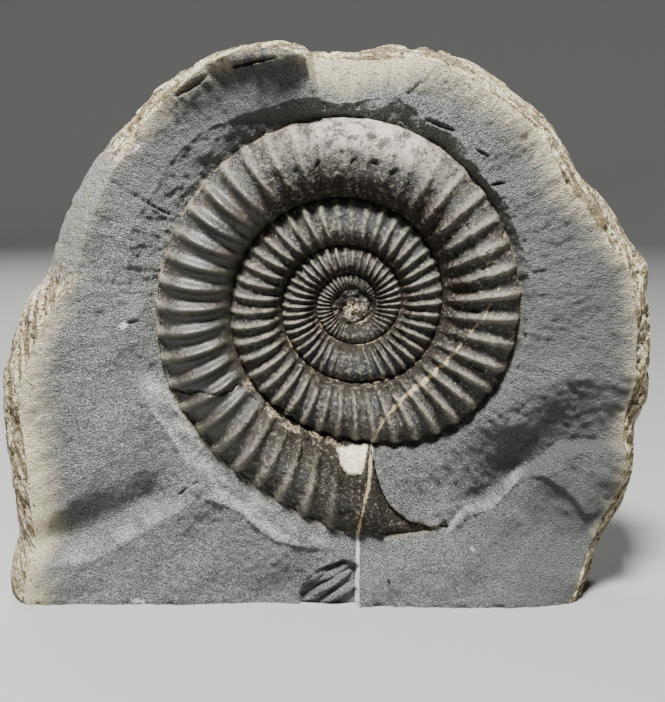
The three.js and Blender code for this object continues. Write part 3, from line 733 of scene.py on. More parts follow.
def make_stone():
    direction = column_directions()
    inset = rim_inset(direction)
    face_x, face_z = face_grid(direction, inset)
    height = face_height(face_x, face_z)
    ragged_foot = 0.5 * np.maximum(0, BREAK.layers(face_x, 8.5, 0, 1.5, 3)) * smooth(1.2, 0, face_z)
    height = height - ragged_foot
    return make_face(direction, face_x, face_z, height), make_rind(direction, inset, height[-1])


# Pale marks on the face as ellipses, and pale lines with their width.
PALE_MARKS = [
    (-49.4, 76.5, 60, 2.4, 0.9), (-52.2, 71.2, 60, 1.3, 0.9), (-40.2, 59.0, 30, 1.5, 0.8),
    (-38.2, 0.6, 0, 1.9, 0.9), (-43, 88.6, 30, 1.6, 0.6), (-36.3, 93.5, 40, 1.4, 0.6),
    (3.8, 17.9, -26, 1.8, 0.5), (30, 12.6, 10, 0.6, 0.4),
]
PALE_LINES = [
    ([(-37.5, 42.4), (-36.6, 43.4), (-33.5, 45.4), (-31.1, 45.4), (-27.5, 42.7)], 0.5),
    ([(-52.1, 9.0), (-46.7, 10.5), (-41, 13.9), (-34.2, 18.5), (-29.4, 21.5), (-26, 24.2)], 0.6),
    ([(-26, 24.2), (-20.8, 22.4), (-16.8, 20.3), (-13.3, 17), (-10.6, 14.9)], 0.7),
    ([(25, 16.4), (27, 19), (28.6, 20.3), (33.5, 21.1), (36.5, 23.7), (38.5, 26.4), (41.5, 29.2)], 0.7),
]


def pale(x, z):
    """How pale the stone is: marks, lines on the ridges, and painted light as streaks on the up-facing slopes
    above the lower ridges.
    """
    amount = np.zeros(np.shape(x))
    rough = 0.5 * BREAK.layers(x, 5.7, z, 1.1, 3)
    for mark in PALE_MARKS:
        amount = np.maximum(amount, smooth(1, 0.6, np.hypot(*turned(x, z, mark)) + rough))
    streaks = BREAK.layers(x * 0.8 - z * 0.6, 12.5, (x * 0.6 + z * 0.8) * 2.2, 5, 4)
    # Painted light: pale streaks where the band's slope faces up, above its ridge.
    lit_band_streaks = smooth(0.2, 1.2, band(x, z)) * is_above(x, z, BAND_RIDGE) * smooth(-0.5, 0.5, streaks)
    amount = np.maximum(amount, 0.55 * lit_band_streaks)
    # Painted light: pale streaks on the up-facing slope just above the valley's ridge.
    near_ridge = is_above(x, z, VALLEY_RIDGE) * smooth(4.5, 0.5, line_distance(x, z, VALLEY_RIDGE))
    lit_ridge_streaks = near_ridge * window(x, -62, -50, -28, -20) * smooth(-0.7, 0.3, streaks)
    amount = np.maximum(amount, 0.4 * lit_ridge_streaks)
    for line, wide in PALE_LINES:
        distance = line_distance(x, z, line) + 0.8 * np.abs(rough)
        amount = np.maximum(amount, 0.5 * smooth(wide, 0.15 * wide, distance))
    return amount


# How far from the outline the cream weathering reaches over the face, by direction.
STAIN_REACH = [
    (-51, 2.5), (-40, 5), (-25, 7.5), (0, 8.5), (20, 9), (45, 8.5), (62, 8.5), (75, 9), (98, 9), (104, 4),
    (140, 7), (150, 6), (172, 8), (181, 11), (200, 14), (216, 14), (222, 11), (300, 2.5), (309.1, 2.5),
]

RIGHT_CORNER_EXTRA = 4


def corner_reach(x):
    """Distance from the outline for points above the base, where it counts sideways only, and at the
    right from a little past the corner."""
    left, right = corner_x(LEFT_CORNER), corner_x(RIGHT_CORNER)
    return np.minimum(x - left, right - x + RIGHT_CORNER_EXTRA)


def close_ring(piece, rows, columns):
    """Fills the last small ring at the middle of the back."""
    mesh = bmesh.new()
    mesh.from_mesh(piece.data)
    mesh.verts.ensure_lookup_table()
    ring = [mesh.verts[(rows - 1) * columns + index] for index in range(columns)]
    centre = sum((corner.co for corner in ring), Vector()) / columns
    middle = mesh.verts.new(centre)
    for index in range(columns):
        face = mesh.faces.new((ring[index], middle, ring[(index + 1) % columns]))
        face.smooth = True
    mesh.to_mesh(piece.data)
    mesh.free()


# The shell
# Rib numbers along each piece, each with the rings to a rib from there on.
CORE_STATIONS = [(-214, 6), (-137, 8), (-94, 12), (-50.02, 12)]
OUTER_STATIONS = [(-50.02, 12), (-8, 22), (39.0, 22)]
CORE_COLUMNS = 46
OUTER_COLUMNS = 58

# Stretches with worn ribs: middle angle, reach either way, and the share of the rib that is lost.
WORN = [
    (84, 42, 0.72), (278, 22, 0.75), (-92, 34, 0.35), (-268, 30, 0.5), (-452, 40, 0.75), (-640, 50, 0.35),
    (-790, 90, 0.85), (-1010, 40, 0.75), (-1250, 130, 0.97), (-1400, 200, 0.97),
]
RIB_VARIES = 0.4
ARCH_POWER = 2.3
ARCH_FULLNESS = 0.7


def inner_radius(angle):
    covered = curve(COIL_EDGE, angle - 360)
    return np.where(angle > CORNER_ANGLE + 360, polyline(HORN_EDGE, angle), covered)


def wear(angle):
    left = np.ones(np.shape(angle))
    for middle, reach, loss in WORN:
        left = left * (1 - loss * smooth(reach, reach * 0.1, np.abs(angle - middle)))
    return left


def rib_wave(number):
    """Ridge with a rounded crest and a flatter groove."""
    return np.cos(2 * np.pi * number) + 0.22 * np.cos(4 * np.pi * number) - 0.1


def rib_number(angle, share):
    """Ribs lean back a little as they cross the whorl."""
    bend = RIB_LEAN * (0.35 - (share - 0.55) ** 2 * 2.4)
    return polyline(RIB_COUNT, angle - bend)


def crest_share(angle, share):
    """1 on the rib crests and 0 in the grooves, and in between where the ribs are worn."""
    return 0.5 + 0.5 * np.cos(2 * np.pi * rib_number(angle, share)) * wear(angle)


def shell_height(angle, share):
    outer = curve(COIL_EDGE, angle)
    width = outer - inner_radius(angle)
    inner_seam = polyline(SEAM_HEIGHT, angle - 360)
    inner_seam = inner_seam + (HORN_INNER_HEIGHT - inner_seam) * smooth(277, 281, angle)
    inside = np.clip(share, 0, 1)
    floor = inner_seam + (polyline(SEAM_HEIGHT, angle) - inner_seam) * inside
    arch = (1 - np.abs(2 * inside - 1) ** ARCH_POWER) ** ARCH_FULLNESS
    gentle = window(angle, 190, 215, 258, 270) * np.where(inside > 0.5, 1, 0)
    arch = arch * (1 - gentle) + (1 - (2 * inside - 1) ** 2) * gentle
    full_width = np.maximum(outer - curve(COIL_EDGE, angle - 360), 0.01)
    shown = np.clip(width / full_width, 0, 1)
    crest = floor + (curve(CREST_HEIGHT, angle) - floor) * shown
    number = rib_number(angle, share)
    strength = 1 + RIB_VARIES * ROUGH.at(number * 0.9, share * 1.5, 31.5)
    fade = smooth(-0.04, 0.22, share) * (1 - 0.35 * smooth(0.86, 1, share)) * smooth(0, 0.3, shown)
    bolder = 1 + 0.35 * smooth(-60, -90, angle)
    ribs = RIB_HEIGHT * bolder * width * rib_wave(number) * strength * fade * wear(angle)
    past = np.maximum(0, share - 1) * width
    return floor + (crest - floor) * arch + ribs - 1.3 * past


# Flakes broken off the shell, each an ellipse and its depth, and cracks with their depth.
GOUGES = [
    (25.4, 77.8, 32, 0.9, 0.4, 0.5), (22.1, 79.7, 30, 0.6, 0.35, 0.4), (27.2, 78.6, 40, 0.6, 0.3, 0.35),
    (31.3, 73.8, 10, 2.2, 1.0, 0.6), (32.4, 70.2, 14, 2.6, 1.1, 0.7), (29.3, 61.8, -20, 1.2, 0.7, 0.6),
    (-32.6, 58.2, -60, 1.3, 0.8, 0.5), (-32.8, 47.6, -50, 2.2, 0.8, 0.6), (-18.6, 64.6, 70, 0.9, 0.6, 0.5),
    (2.5, 92.2, 10, 1.3, 0.6, 0.6), (5.3, 91.0, 40, 1.0, 0.5, 0.7), (9.5, 90.6, -20, 1.4, 0.7, 0.7),
    (13.0, 88.8, 20, 1.2, 0.7, 0.6), (-1.6, 90.2, 60, 1.1, 0.5, 0.5), (19.6, 91.6, -45, 1.5, 0.5, 0.4),
    (30.4, 50.6, -25, 3.0, 0.9, 0.7), (26.8, 47.2, -40, 2.2, 0.7, 0.5), (-5.9, 88.6, 75, 1.2, 0.5, 0.4),
]
CRACKS = [
    ([(-23.5, 76.9), (-20.6, 78.1), (-17.8, 79.2), (-15.7, 78.7), (-14.2, 77.3)], 0.25),
    ([(-37, 44), (-31, 45.6), (-25.1, 45.5), (-22.1, 45.3), (-18.8, 45.7), (-17.5, 46.9), (-15.2, 45.5),
      (-12.8, 42.4), (-10.3, 41.6), (-7, 40.8)], 0.7),
    ([(22.2, 52.6), (26.4, 57.2), (28.6, 62.0), (29.5, 68.4)], 0.2),
    ([(-11.5, 37.6), (-5.2, 38.4)], 0.3),
]


def gouges(x, z):
    depth = np.zeros(np.shape(x))
    ragged = 0.35 * BREAK.layers(x, 7.7, z, 0.9, 2)
    broken = 0.75 + 0.5 * GRAIN.at(x / 0.45, 3.1, z / 0.45)
    for *gouge, deep in GOUGES:
        depth += deep * smooth(1, 0.55, np.hypot(*turned(x, z, gouge)) + ragged) * broken
    return depth


def cracks(x, z):
    """Thin cracks. Above each one the shell is raised a little along it."""
    depth = np.zeros(np.shape(x))
    wander = 0.35 * BREAK.layers(x, 30.5, z, 1.6, 2)
    for line, deep in CRACKS:
        distance = line_distance(x + wander, z - wander, line)
        depth = np.maximum(depth, deep * smooth(0.32, 0.08, distance))
        above = is_above(x + wander, z - wander, line)
        depth = depth - np.where(above, 0.3 * deep * smooth(1.1, 0.2, distance), 0)
    return depth


def rough_zone(angle, share):
    """Smooth satin on the last whorl's left side, rough elsewhere."""
    return 1 - 0.85 * window(angle, 122, 140, 215, 242) * smooth(0.95, 0.8, share)


def station_angles(stations):
    """Turned angles of a piece's rings, a number of them to each rib."""
    numbers = [np.arange(start, end, 1 / rings) for (start, rings), (end, _) in zip(stations, stations[1:])]
    numbers.append([stations[-1][0]])
    angles, counted = np.array(RIB_COUNT, float).T
    angle = np.interp(np.concatenate(numbers), counted, angles)
    return np.minimum(angle, TIP_ANGLE - 0.02)[:, None]


def section(column_count):
    """Share of the width and drop of each column across a whorl: down the hidden inner wall, over the top
    and on under the next whorl."""
    over = (1 - np.cos(np.linspace(0, math.pi, column_count))) / 2
    over = 0.5 * over + 0.5 * np.linspace(0, 1, column_count)
    share = np.concatenate([[0, 0], over, [1.05, 1.05]])[None, :]
    drop = np.concatenate([[4.5, 1.5], np.zeros(column_count), [0, 3.5]])[None, :]
    return share, drop


def worn_and_lit_share(angle, share, flakes):
    """How pale and rubbed the shell is where its ribs are worn, on the last whorl's outer half, partly
    painted light: that half faces up at the top.
    """
    worn_and_lit = np.broadcast_to(1 - wear(angle), flakes.shape) * smooth(0.15, 0.6, share)
    return worn_and_lit * (1 - smooth(225, 262, angle)) * smooth(-60, 40, angle) * smooth(0.42, 0.85, share)


def dirt_and_shade_share(angle, share, width, flakes):
    """Darkening near the inner seams and on the last whorl's inner half, partly dirt and partly painted
    shade, and dirt on the horn and in the flakes.
    """
    dirt_and_shade = smooth(3.4, 0.6, share * width) + 0.8 * smooth(0.6, 0.2, share) * smooth(-100, 60, angle)
    dirt_and_shade = np.clip(dirt_and_shade + 0.8 * smooth(255, 274, angle), 0, 1)
    return np.clip(dirt_and_shade + 0.5 * flakes, 0, 1)


# Fine relief of the shell, in millimetres.
LUMPS = 0.16
SMALL_LUMPS = 0.09
PIT_DEPTH = 0.5
FLAKE_DEPTH = 0.16
EDGE_BAND_RELIEF = 0.35
LIP_HEIGHT = 0.7
PATCH_HEIGHT = 0.5
FULL_SIZE_WIDTH = 14

# The coil's innermost turns are one lumpy mass, a little wider than high.
MIDDLE_SHIFT = 0.5
MIDDLE_SQUEEZE = 0.88
MIDDLE_HEIGHT = 8.9
MIDDLE_LUMPS = 0.9
PALE_MIDDLE_X = 5.3
PALE_MIDDLE_Z = 61.7


def shell_piece(name, stations, column_count):
    angle = station_angles(stations)
    share, drop = section(column_count)
    inner = inner_radius(angle)
    width = curve(COIL_EDGE, angle) - inner
    x, z = around_coil(angle, inner + width * share)

    size = np.minimum(1, width / FULL_SIZE_WIDTH)
    rough = np.broadcast_to(rough_zone(angle, share), x.shape)
    flakes = smooth(0.25, 0.6, BREAK.layers(x, 19.5, z, 1.7, 4)) * rough
    worn_and_lit = worn_and_lit_share(angle, share, flakes)
    pits = smooth(0.2, 0.8, BREAK.layers(x, 13.5, z, 1.9, 4)) * worn_and_lit * smooth(0.1, 0.4, share)
    lumps = LUMPS * ROUGH.layers(x, 11.5, z, 3.2, 3) + SMALL_LUMPS * BREAK.layers(x, 12.5, z, 1.0, 3)
    edge_band = smooth(0.86, 0.94, share) * window(angle, -62, -30, 60, 80)
    lip = window(share, 0.93, 0.975, 0.985, 1.0) * window(angle, 120, 135, 200, 215)
    crust = seam_crust(angle, share, width)
    patch = patch_mask(x, z)

    height = shell_height(angle, share) - drop + lumps * size * (0.25 + 0.75 * rough)
    height = height - (PIT_DEPTH * pits + FLAKE_DEPTH * flakes) * size - gouges(x, z) - cracks(x, z)
    height = height + edge_band * EDGE_BAND_RELIEF * BREAK.layers(x, 14.5, z, 1.1, 3) + LIP_HEIGHT * lip
    height = height + crust * (0.25 + 0.6 * BREAK.layers(x, 15.5, z, 1.2, 3)) + PATCH_HEIGHT * patch
    lumpy = smooth(3.9, 3.1, np.hypot((x - COIL_X - MIDDLE_SHIFT) * MIDDLE_SQUEEZE, z - COIL_Z))
    middle = MIDDLE_HEIGHT + MIDDLE_LUMPS * BREAK.layers(x, 16.5, z, 1.9, 3)
    height = height * (1 - lumpy) + lumpy * middle

    speckled_edge = edge_band * smooth(-0.2, 0.6, BREAK.layers(x, 17.5, z, 1.2, 2))
    speckled_middle = 0.35 * smooth(-0.4, 0.5, BREAK.layers(x, 18.5, z, 1.5, 2))
    pale_middle = smooth(1.7, 0.7, np.hypot(x - PALE_MIDDLE_X, z - PALE_MIDDLE_Z))
    tan = np.maximum(tan_mask(angle, share, x, z, width), 0.75 * speckled_edge)
    tan = np.maximum(tan, lumpy * (speckled_middle + pale_middle))

    # The rows run outwards, so the quads of the grid are turned to face out.
    rows, columns = x.shape
    last = np.arange(rows - 1) * columns
    closing = [last + columns - 1, last, last + columns, last + 2 * columns - 1]
    quads = np.concatenate([grid_quads(rows, columns, False), np.stack(closing, axis=-1)])
    return make_object(
        name,
        x,
        height,
        z,
        quads[:, ::-1],
        {
            "vein": vein_edge(x, z),
            "tan": tan,
            "worn_and_lit": worn_and_lit,
            "rough": rough,
            "dirt_and_shade": dirt_and_shade_share(angle, share, width, flakes) * rough,
            "crest": crest_share(angle, share),
            "patch": patch,
        },
    )


# Cream mineral patch beside the vein, where the last whorl meets the one within it.
# Its left and right edge are (z, x) points.
PATCH_LEFT = [(29.2, 4.4), (29.8, 3.5), (31, 2.9), (32.4, 2.6), (33.8, 2.2)]
PATCH_RIGHT = [(29.2, 7.0), (30, 7.5), (31.5, 7.8), (33.8, 8.1)]


def patch_mask(x, z):
    """1 inside the patch and 0 outside, with a ragged edge."""
    foot, top = PATCH_LEFT[0][0], PATCH_LEFT[-1][0]
    across = np.minimum(x - polyline(PATCH_LEFT, z), polyline(PATCH_RIGHT, z) - x)
    inside = np.minimum(across, np.minimum(z - foot, top - z))
    return smooth(-0.25, 0.25, inside + 0.4 * BREAK.layers(x, 24.5, z, 1.2, 3))


SEAM_CRUST_REACH = 1.6


def seam_crust(angle, share, width):
    """Raised mineral crust on the last whorl's inner wall at the lower left."""
    reach = SEAM_CRUST_REACH / np.maximum(width, 0.1)
    return smooth(reach * 1.3, reach * 0.6, share) * window(angle, 208, 222, 258, 272)


def tan_mask(angle, share, x, z, width):
    """Where tan mineral clings: thin lines in the lower seams, the left edge, and the seam crust."""
    broken = 0.7 + 1.1 * BREAK.layers(x, 21.5, z, 2.2, 3)
    _, direction = polar(x, z, 0)
    seam = smooth(0.45, 0.15, share * width) * window(direction, 195, 215, 320, 345)
    seam = seam * np.where(angle > 278, 0, 1)
    left_edge = smooth(0.9, 0.3, np.maximum(0, 1 - share) * width) * window(angle, 95, 110, 215, 232)
    crust = 1.2 * seam_crust(angle, share, width)
    return np.clip(np.maximum(np.maximum(seam, 0.9 * left_edge), crust) * broken, 0, 1)


# Materials
# Distance from the coil's centre, in millimetres, at which rays have the width that is asked for.
RAY_RADIUS = 45


class Shader:
    """Small helper to build a node material line by line. Each colour is laid over those before it."""

    def __init__(self, name, colour):
        self.material = bpy.data.materials.new(name)
        self.material.use_nodes = True
        self.tree = self.material.node_tree
        self.colour = colour

    def node(self, kind, inputs, **settings):
        made = self.tree.nodes.new(kind)
        for key, value in settings.items():
            setattr(made, key, value)
        for key, value in inputs.items():
            self.feed(made.inputs[key], value)
        return made

    def feed(self, socket, value):
        if isinstance(value, bpy.types.NodeSocket):
            self.tree.links.new(value, socket)
        else:
            socket.default_value = value

    def stored(self, label):
        return self.node("ShaderNodeAttribute", {}, attribute_name=label).outputs["Fac"]

    def place(self):
        return self.node("ShaderNodeTexCoord", {}).outputs["Object"]

    def axis(self, label):
        return self.node("ShaderNodeSeparateXYZ", {0: self.place()}).outputs[label]

    def math(self, operation, first, second):
        return self.node("ShaderNodeMath", {0: first, 1: second}, operation=operation).outputs[0]

    def plus(self, first, second):
        return self.math("ADD", first, second)

    def minus(self, first, second):
        return self.math("SUBTRACT", first, second)

    def times(self, first, second):
        return self.math("MULTIPLY", first, second)

    def swing(self, noise, reach):
        """Noise as a number that swings about 0."""
        return self.times(self.minus(noise, 0.5), reach)

    def vector(self, operation, first, second=(0, 0, 0), result="Vector"):
        return self.node("ShaderNodeVectorMath", {0: first, 1: second}, operation=operation).outputs[result]

    def noise(self, size_mm, detail, roughness=0.55, distortion=0.0):
        return self.pattern(self.place(), 1 / (size_mm * MM), detail, roughness, distortion)

    def ray_noise(self, long_mm, wide_mm, detail, roughness, distortion=0.0):
        """Noise whose cells are long outwards from the coil and narrow around it."""
        out = self.vector("SUBTRACT", self.place(), (COIL_X * MM, 0, COIL_Z * MM))
        flat = self.vector("MULTIPLY", out, (1, 0, 1))
        radius = self.vector("LENGTH", flat, result="Value")
        spread = RAY_RADIUS / wide_mm
        around = self.vector("MULTIPLY", self.vector("NORMALIZE", flat), (spread, 0, spread))
        along = self.node("ShaderNodeCombineXYZ", {"Y": self.times(radius, 1 / (long_mm * MM))}).outputs[0]
        return self.pattern(self.vector("ADD", around, along), 1.0, detail, roughness, distortion)

    def pattern(self, vector, scale, detail, roughness, distortion):
        inputs = {
            "Vector": vector,
            "Scale": scale,
            "Detail": detail,
            "Roughness": roughness,
            "Distortion": distortion,
        }
        return self.node("ShaderNodeTexNoise", inputs).outputs["Fac"]

    def span(self, value, low, high, start=0.0, end=1.0):
        """Turns the range low to high into start to end, with soft ends."""
        inputs = {"Value": value, "From Min": low, "From Max": high, "To Min": start, "To Max": end}
        return self.node("ShaderNodeMapRange", inputs, interpolation_type="SMOOTHSTEP").outputs["Result"]

    def mix(self, share, first, second):
        return self.node("ShaderNodeMix", {0: share, 6: first, 7: second}, data_type="RGBA").outputs[2]

    def lay(self, share, colour):
        self.colour = self.mix(share, self.colour, colour)

    def finish(self, roughness, specular, relief, relief_mm):
        surface = self.tree.nodes["Principled BSDF"]
        bump = self.node("ShaderNodeBump", {"Height": relief, "Distance": relief_mm * MM, "Strength": 1.0})
        self.feed(surface.inputs["Base Color"], self.colour)
        self.feed(surface.inputs["Roughness"], roughness)
        self.feed(surface.inputs["Specular IOR Level"], specular)
        self.feed(surface.inputs["Normal"], bump.outputs["Normal"])
        return self.material


def tone(red, green, blue):
    """Linear colour from the sRGB values that a picker reads, out of 255."""
    shares = [value / 255 for value in (red, green, blue)]
    linear = [share / 12.92 if share <= 0.04045 else ((share + 0.055) / 1.055) ** 2.4 for share in shares]
    return (*linear, 1.0)


GREY = tone(116, 118, 115)
GREY_DARK = tone(99, 101, 99)
GREY_LIGHT = tone(172, 173, 168)
GREY_DEEP = tone(64, 66, 65)
GREY_PAINTED_SHADE = tone(86, 89, 87)
BEVEL_GREY = tone(130, 129, 123)
CREAM = tone(199, 188, 154)
CREAM_LIGHT = tone(216, 207, 178)
CREAM_BRIGHT = tone(236, 230, 208)
TAN = tone(150, 136, 110)
OCHRE = tone(163, 142, 96)
BROWN = tone(96, 80, 54)
BACK_BROWN = tone(110, 103, 90)
STAIN = tone(54, 44, 32)
VEIN_WHITE = tone(228, 227, 220)
VEIN_TAN = tone(154, 138, 110)
SHELL_DARK = tone(33, 34, 30)
SHELL_BROWN = tone(50, 44, 36)
SHELL_WORN_AND_LIT = tone(188, 180, 164)
SHELL_RUBBED_AND_HIGHLIGHT = tone(116, 112, 98)
SHELL_DUST_AND_GLINT = tone(138, 131, 116)
SEAM_DIRT_AND_SHADE = tone(36, 31, 25)
PATCH_CREAM = tone(214, 206, 184)


def stone_face_material():
    shader = Shader("broken_limestone", GREY_DARK)
    fine = shader.noise(0.34, 2, 0.6)
    shader.lay(shader.span(shader.noise(14, 3), 0.3, 0.7), GREY)
    shader.lay(shader.span(shader.noise(2.2, 4, 0.65), 0.45, 0.8, 0, 0.3), GREY_LIGHT)
    shader.lay(shader.span(fine, 0.5, 0.66, 0, 0.7), GREY_LIGHT)
    shader.lay(shader.span(fine, 0.48, 0.36, 0, 0.7), GREY_DEEP)

    # Painted shade: the stone is darker to the right of the coil and at the upper left.
    shader.lay(shader.span(shader.axis("X"), 0.012, 0.055, 0, 0.75), GREY_PAINTED_SHADE)
    upper = shader.span(shader.axis("Z"), 0.07, 0.1)
    left = shader.span(shader.axis("X"), 0.0, -0.008)
    shader.lay(shader.times(shader.times(upper, left), 0.75), GREY_PAINTED_SHADE)

    # Cream weathering creeps in from the rim, in streaks that run out from the coil.
    streaks = shader.ray_noise(9, 1.6, 4, 0.6)
    reach = shader.plus(shader.stored("border"), shader.swing(streaks, 9.0))
    shader.lay(shader.span(reach, 2.5, -5.5, 0, 0.92), CREAM)
    shader.lay(shader.span(reach, -1, -6, 0, 0.7), CREAM_LIGHT)
    specks = shader.times(shader.span(shader.noise(1.0, 4, 0.65), 0.56, 0.68), shader.span(reach, 1.0, -2.5))
    shader.lay(shader.times(specks, 0.8), STAIN)

    # Pale chips and ridges, painted light on the up-facing slopes by the lower ridges, and the white vein.
    shader.lay(shader.times(shader.stored("pale"), shader.span(fine, 0.35, 0.6, 0.35, 1)), VEIN_WHITE)
    vein = shader.plus(shader.stored("vein"), shader.swing(shader.noise(1.5, 3), 0.5))
    shader.lay(shader.span(vein, 0.1, -0.1), VEIN_WHITE)

    # Thin tan crust right at the coil's edge.
    crust = shader.plus(shader.stored("coil"), shader.swing(shader.noise(1.3, 4, 0.65), 3.0))
    shader.lay(shader.span(crust, 0.5, -0.1, 0, 0.5), TAN)

    rippled = shader.span(shader.axis("Z"), 0.014, 0.028)
    ripples = shader.ray_noise(1.2, 0.42, 2, 0.55, distortion=0.8)
    relief = shader.plus(shader.times(ripples, rippled), shader.noise(0.3, 2, 0.6, distortion=0.4))
    return shader.finish(0.8, 0.3, relief, 2.0)


def stone_rind_material():
    shader = Shader("weathered_rind", CREAM_LIGHT)
    mid = shader.noise(2.6, 5, 0.7)
    fine = shader.noise(0.9, 4, 0.7)
    shader.lay(shader.span(shader.noise(7, 5, 0.65), 0.35, 0.65), CREAM)
    shader.lay(shader.span(mid, 0.44, 0.58, 0, 0.85), OCHRE)
    shader.lay(shader.span(fine, 0.5, 0.36, 0, 0.8), CREAM_BRIGHT)
    shader.lay(shader.span(fine, 0.52, 0.6, 0, 0.92), STAIN)
    shader.lay(shader.span(shader.ray_noise(1.1, 9, 4, 0.6), 0.5, 0.57, 0, 0.8), BROWN)
    shader.lay(shader.times(shader.stored("clean"), shader.span(mid, 0.66, 0.6)), BEVEL_GREY)
    shader.lay(shader.span(shader.stored("across"), 1.0, 1.8, 0, 0.6), BACK_BROWN)
    shader.lay(shader.stored("sawn"), GREY)
    relief = shader.plus(shader.noise(1.4, 4, 0.7), shader.times(shader.noise(0.4, 3, 0.6), 0.35))
    return shader.finish(0.85, 0.25, relief, 2.8)


def shell_material():
    shader = Shader("fossil_shell", SHELL_DARK)
    rough = shader.stored("rough")
    fine = shader.noise(0.8, 4, 0.7)
    shader.lay(shader.span(shader.noise(5, 4, 0.6), 0.4, 0.65), SHELL_BROWN)

    # Lighter rib crests, partly rubbed and partly painted highlight, so the grooves stay darker as painted
    # shade; the worn stretch at the top, partly painted light; dust, partly painted glints; and dirt, partly
    # painted shade near the inner seams.
    rubbed_and_highlight = shader.plus(shader.stored("crest"), shader.swing(fine, 1.6))
    shader.lay(shader.times(shader.span(rubbed_and_highlight, 0.4, 1.1), rough), SHELL_RUBBED_AND_HIGHLIGHT)
    blotch = shader.span(shader.noise(2.4, 4, 0.7), 0.6, 0.46, 0.1, 1.0)
    # Worn stretch, partly painted light: paler on the last whorl's outer half, which faces up at the top.
    shader.lay(shader.times(shader.stored("worn_and_lit"), blotch), SHELL_WORN_AND_LIT)
    # Dust, partly painted glints: light specks in the rough parts of the shell.
    shader.lay(shader.times(shader.span(fine, 0.53, 0.68, 0, 0.8), rough), SHELL_DUST_AND_GLINT)
    # Dirt and painted shade: darker near the inner seams and on the last whorl's inner half.
    shader.lay(shader.times(shader.stored("dirt_and_shade"), shader.span(fine, 0.66, 0.5, 0.3, 0.95)), SEAM_DIRT_AND_SHADE)
    grit = shader.span(shader.noise(1.5, 4, 0.7), 0.44, 0.35, 0, 0.6)
    shader.lay(shader.times(grit, rough), SEAM_DIRT_AND_SHADE)

    # Mineral fillings: tan crumbs in the seams, the vein and the cream patch.
    tan = shader.span(shader.plus(shader.stored("tan"), shader.swing(fine, 1.0)), 0.3, 0.8)
    shader.lay(tan, shader.mix(shader.span(shader.noise(0.5, 3, 0.7), 0.44, 0.56), TAN, SHELL_BROWN))
    vein = shader.plus(shader.stored("vein"), shader.swing(shader.noise(1.2, 4, 0.65), 1.2))
    shader.lay(shader.span(vein, 0.12, -0.12), VEIN_TAN)
    shader.lay(shader.stored("patch"), shader.mix(shader.span(fine, 0.42, 0.62, 0, 0.6), PATCH_CREAM, TAN))

    gloss = shader.plus(shader.span(fine, 0.35, 0.7, 0.32, 0.56), shader.times(tan, 0.3))
    specular = shader.minus(0.65, shader.times(shader.stored("dirt_and_shade"), 0.5))
    grain = shader.times(shader.noise(0.45, 3, 0.65), shader.plus(shader.times(rough, 0.85), 0.15))
    return shader.finish(gloss, specular, grain, 0.6)


# Camera, light and floor, in metres
CAMERA_PLACE = (0.0012, -0.22865, 0.0916)
CAMERA_TILT = 80
LENS = 56.4
SENSOR = 36.0
LIGHT_TARGET = (0, 0, 0.06)
# Each light: name, place, size and power.
LIGHTS = [("key", (-0.05, -0.29, 0.6), 0.13, 20.5), ("back", (-0.25, 0.55, 0.5), 0.4, 5)]
FLOOR_HOLE = 0.02
FLOOR_FLAT = 1.0
FLOOR_BEND = 0.5
FLOOR_WALL = 1.6
FLOOR_SIDES = 96
FLOOR_COLOUR = (0.24, 0.24, 0.235, 1)
WORLD_COLOUR = (0.8, 0.82, 0.85, 1)
WORLD_STRENGTH = 0.06


def make_camera():
    data = bpy.data.cameras.new("camera")
    data.sensor_width = SENSOR
    data.lens = LENS
    data.clip_start = 0.005
    camera = bpy.data.objects.new("camera", data)
    camera.location = CAMERA_PLACE
    camera.rotation_euler = (math.radians(CAMERA_TILT), 0, 0)
    bpy.context.scene.collection.objects.link(camera)
    bpy.context.scene.camera = camera


def make_light(name, place, size, power):
    data = bpy.data.lights.new(name, "AREA")
    data.shape = "SQUARE"
    data.size = size
    data.energy = power
    lamp = bpy.data.objects.new(name, data)
    lamp.location = place
    lamp.rotation_euler = (Vector(LIGHT_TARGET) - Vector(place)).to_track_quat("-Z", "Y").to_euler()
    bpy.context.scene.collection.objects.link(lamp)


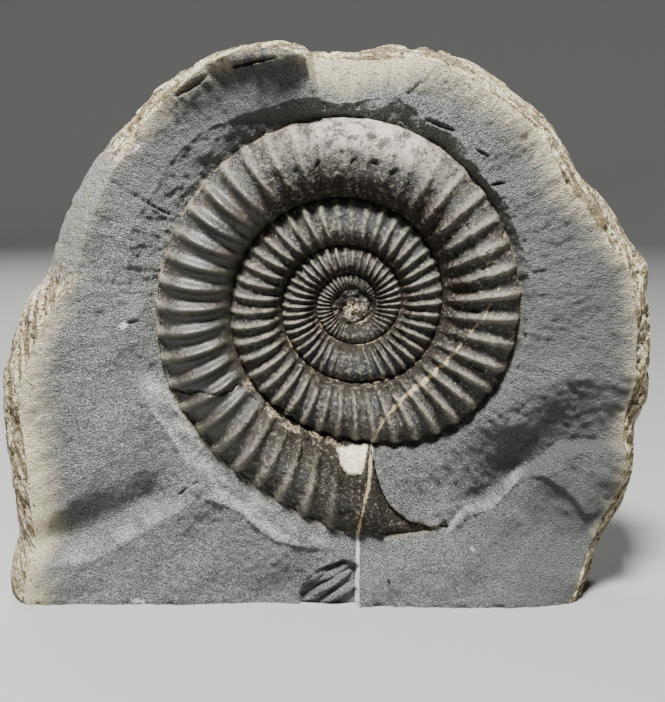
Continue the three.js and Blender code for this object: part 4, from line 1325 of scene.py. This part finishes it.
def make_floor():
    """A round sweep: flat under the object, turning up into a wall far behind it on every side."""
    turn = np.linspace(0, math.pi / 2, 13)
    edge = FLOOR_FLAT + FLOOR_BEND
    radii = np.concatenate([[FLOOR_HOLE], FLOOR_FLAT + FLOOR_BEND * np.sin(turn), [edge]])
    heights = np.concatenate([[0.0], FLOOR_BEND * (1 - np.cos(turn)), [FLOOR_WALL]])
    around = np.linspace(0, 2 * math.pi, FLOOR_SIDES, endpoint=False)
    x = radii[:, None] * np.cos(around)
    y = radii[:, None] * np.sin(around)
    z = np.broadcast_to(heights[:, None], x.shape)
    corners = np.stack([x, y, z], axis=-1).reshape(-1, 3)
    faces = grid_quads(len(radii), FLOOR_SIDES, True).tolist() + [list(range(FLOOR_SIDES))]
    mesh = bpy.data.meshes.new("floor")
    mesh.from_pydata(corners.tolist(), [], faces)
    mesh.polygons.foreach_set("use_smooth", [True] * len(faces))
    material = bpy.data.materials.new("pale_floor")
    material.use_nodes = True
    surface = material.node_tree.nodes["Principled BSDF"]
    surface.inputs["Base Color"].default_value = FLOOR_COLOUR
    surface.inputs["Roughness"].default_value = 0.8
    mesh.materials.append(material)
    floor = bpy.data.objects.new("floor", mesh)
    bpy.context.scene.collection.objects.link(floor)


def make_world():
    world = bpy.data.worlds.new("studio")
    world.use_nodes = True
    background = world.node_tree.nodes["Background"]
    background.inputs["Color"].default_value = WORLD_COLOUR
    background.inputs["Strength"].default_value = WORLD_STRENGTH
    bpy.context.scene.world = world


def dress(piece, material, node):
    piece.data.materials.append(material)
    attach(piece, "root")
    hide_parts(node)


make_camera()
make_world()
make_floor()
for light in LIGHTS:
    make_light(*light)

stone_face, stone_rind = make_stone()
dress(stone_face, stone_face_material(), "matrix_stone")
dress(stone_rind, stone_rind_material(), "matrix_stone")
shell_look = shell_material()
for name, stations, columns in (
    ("shell_core", CORE_STATIONS, CORE_COLUMNS),
    ("shell_whorl", OUTER_STATIONS, OUTER_COLUMNS),
):
    dress(shell_piece(name, stations, columns), shell_look, "ammonite")
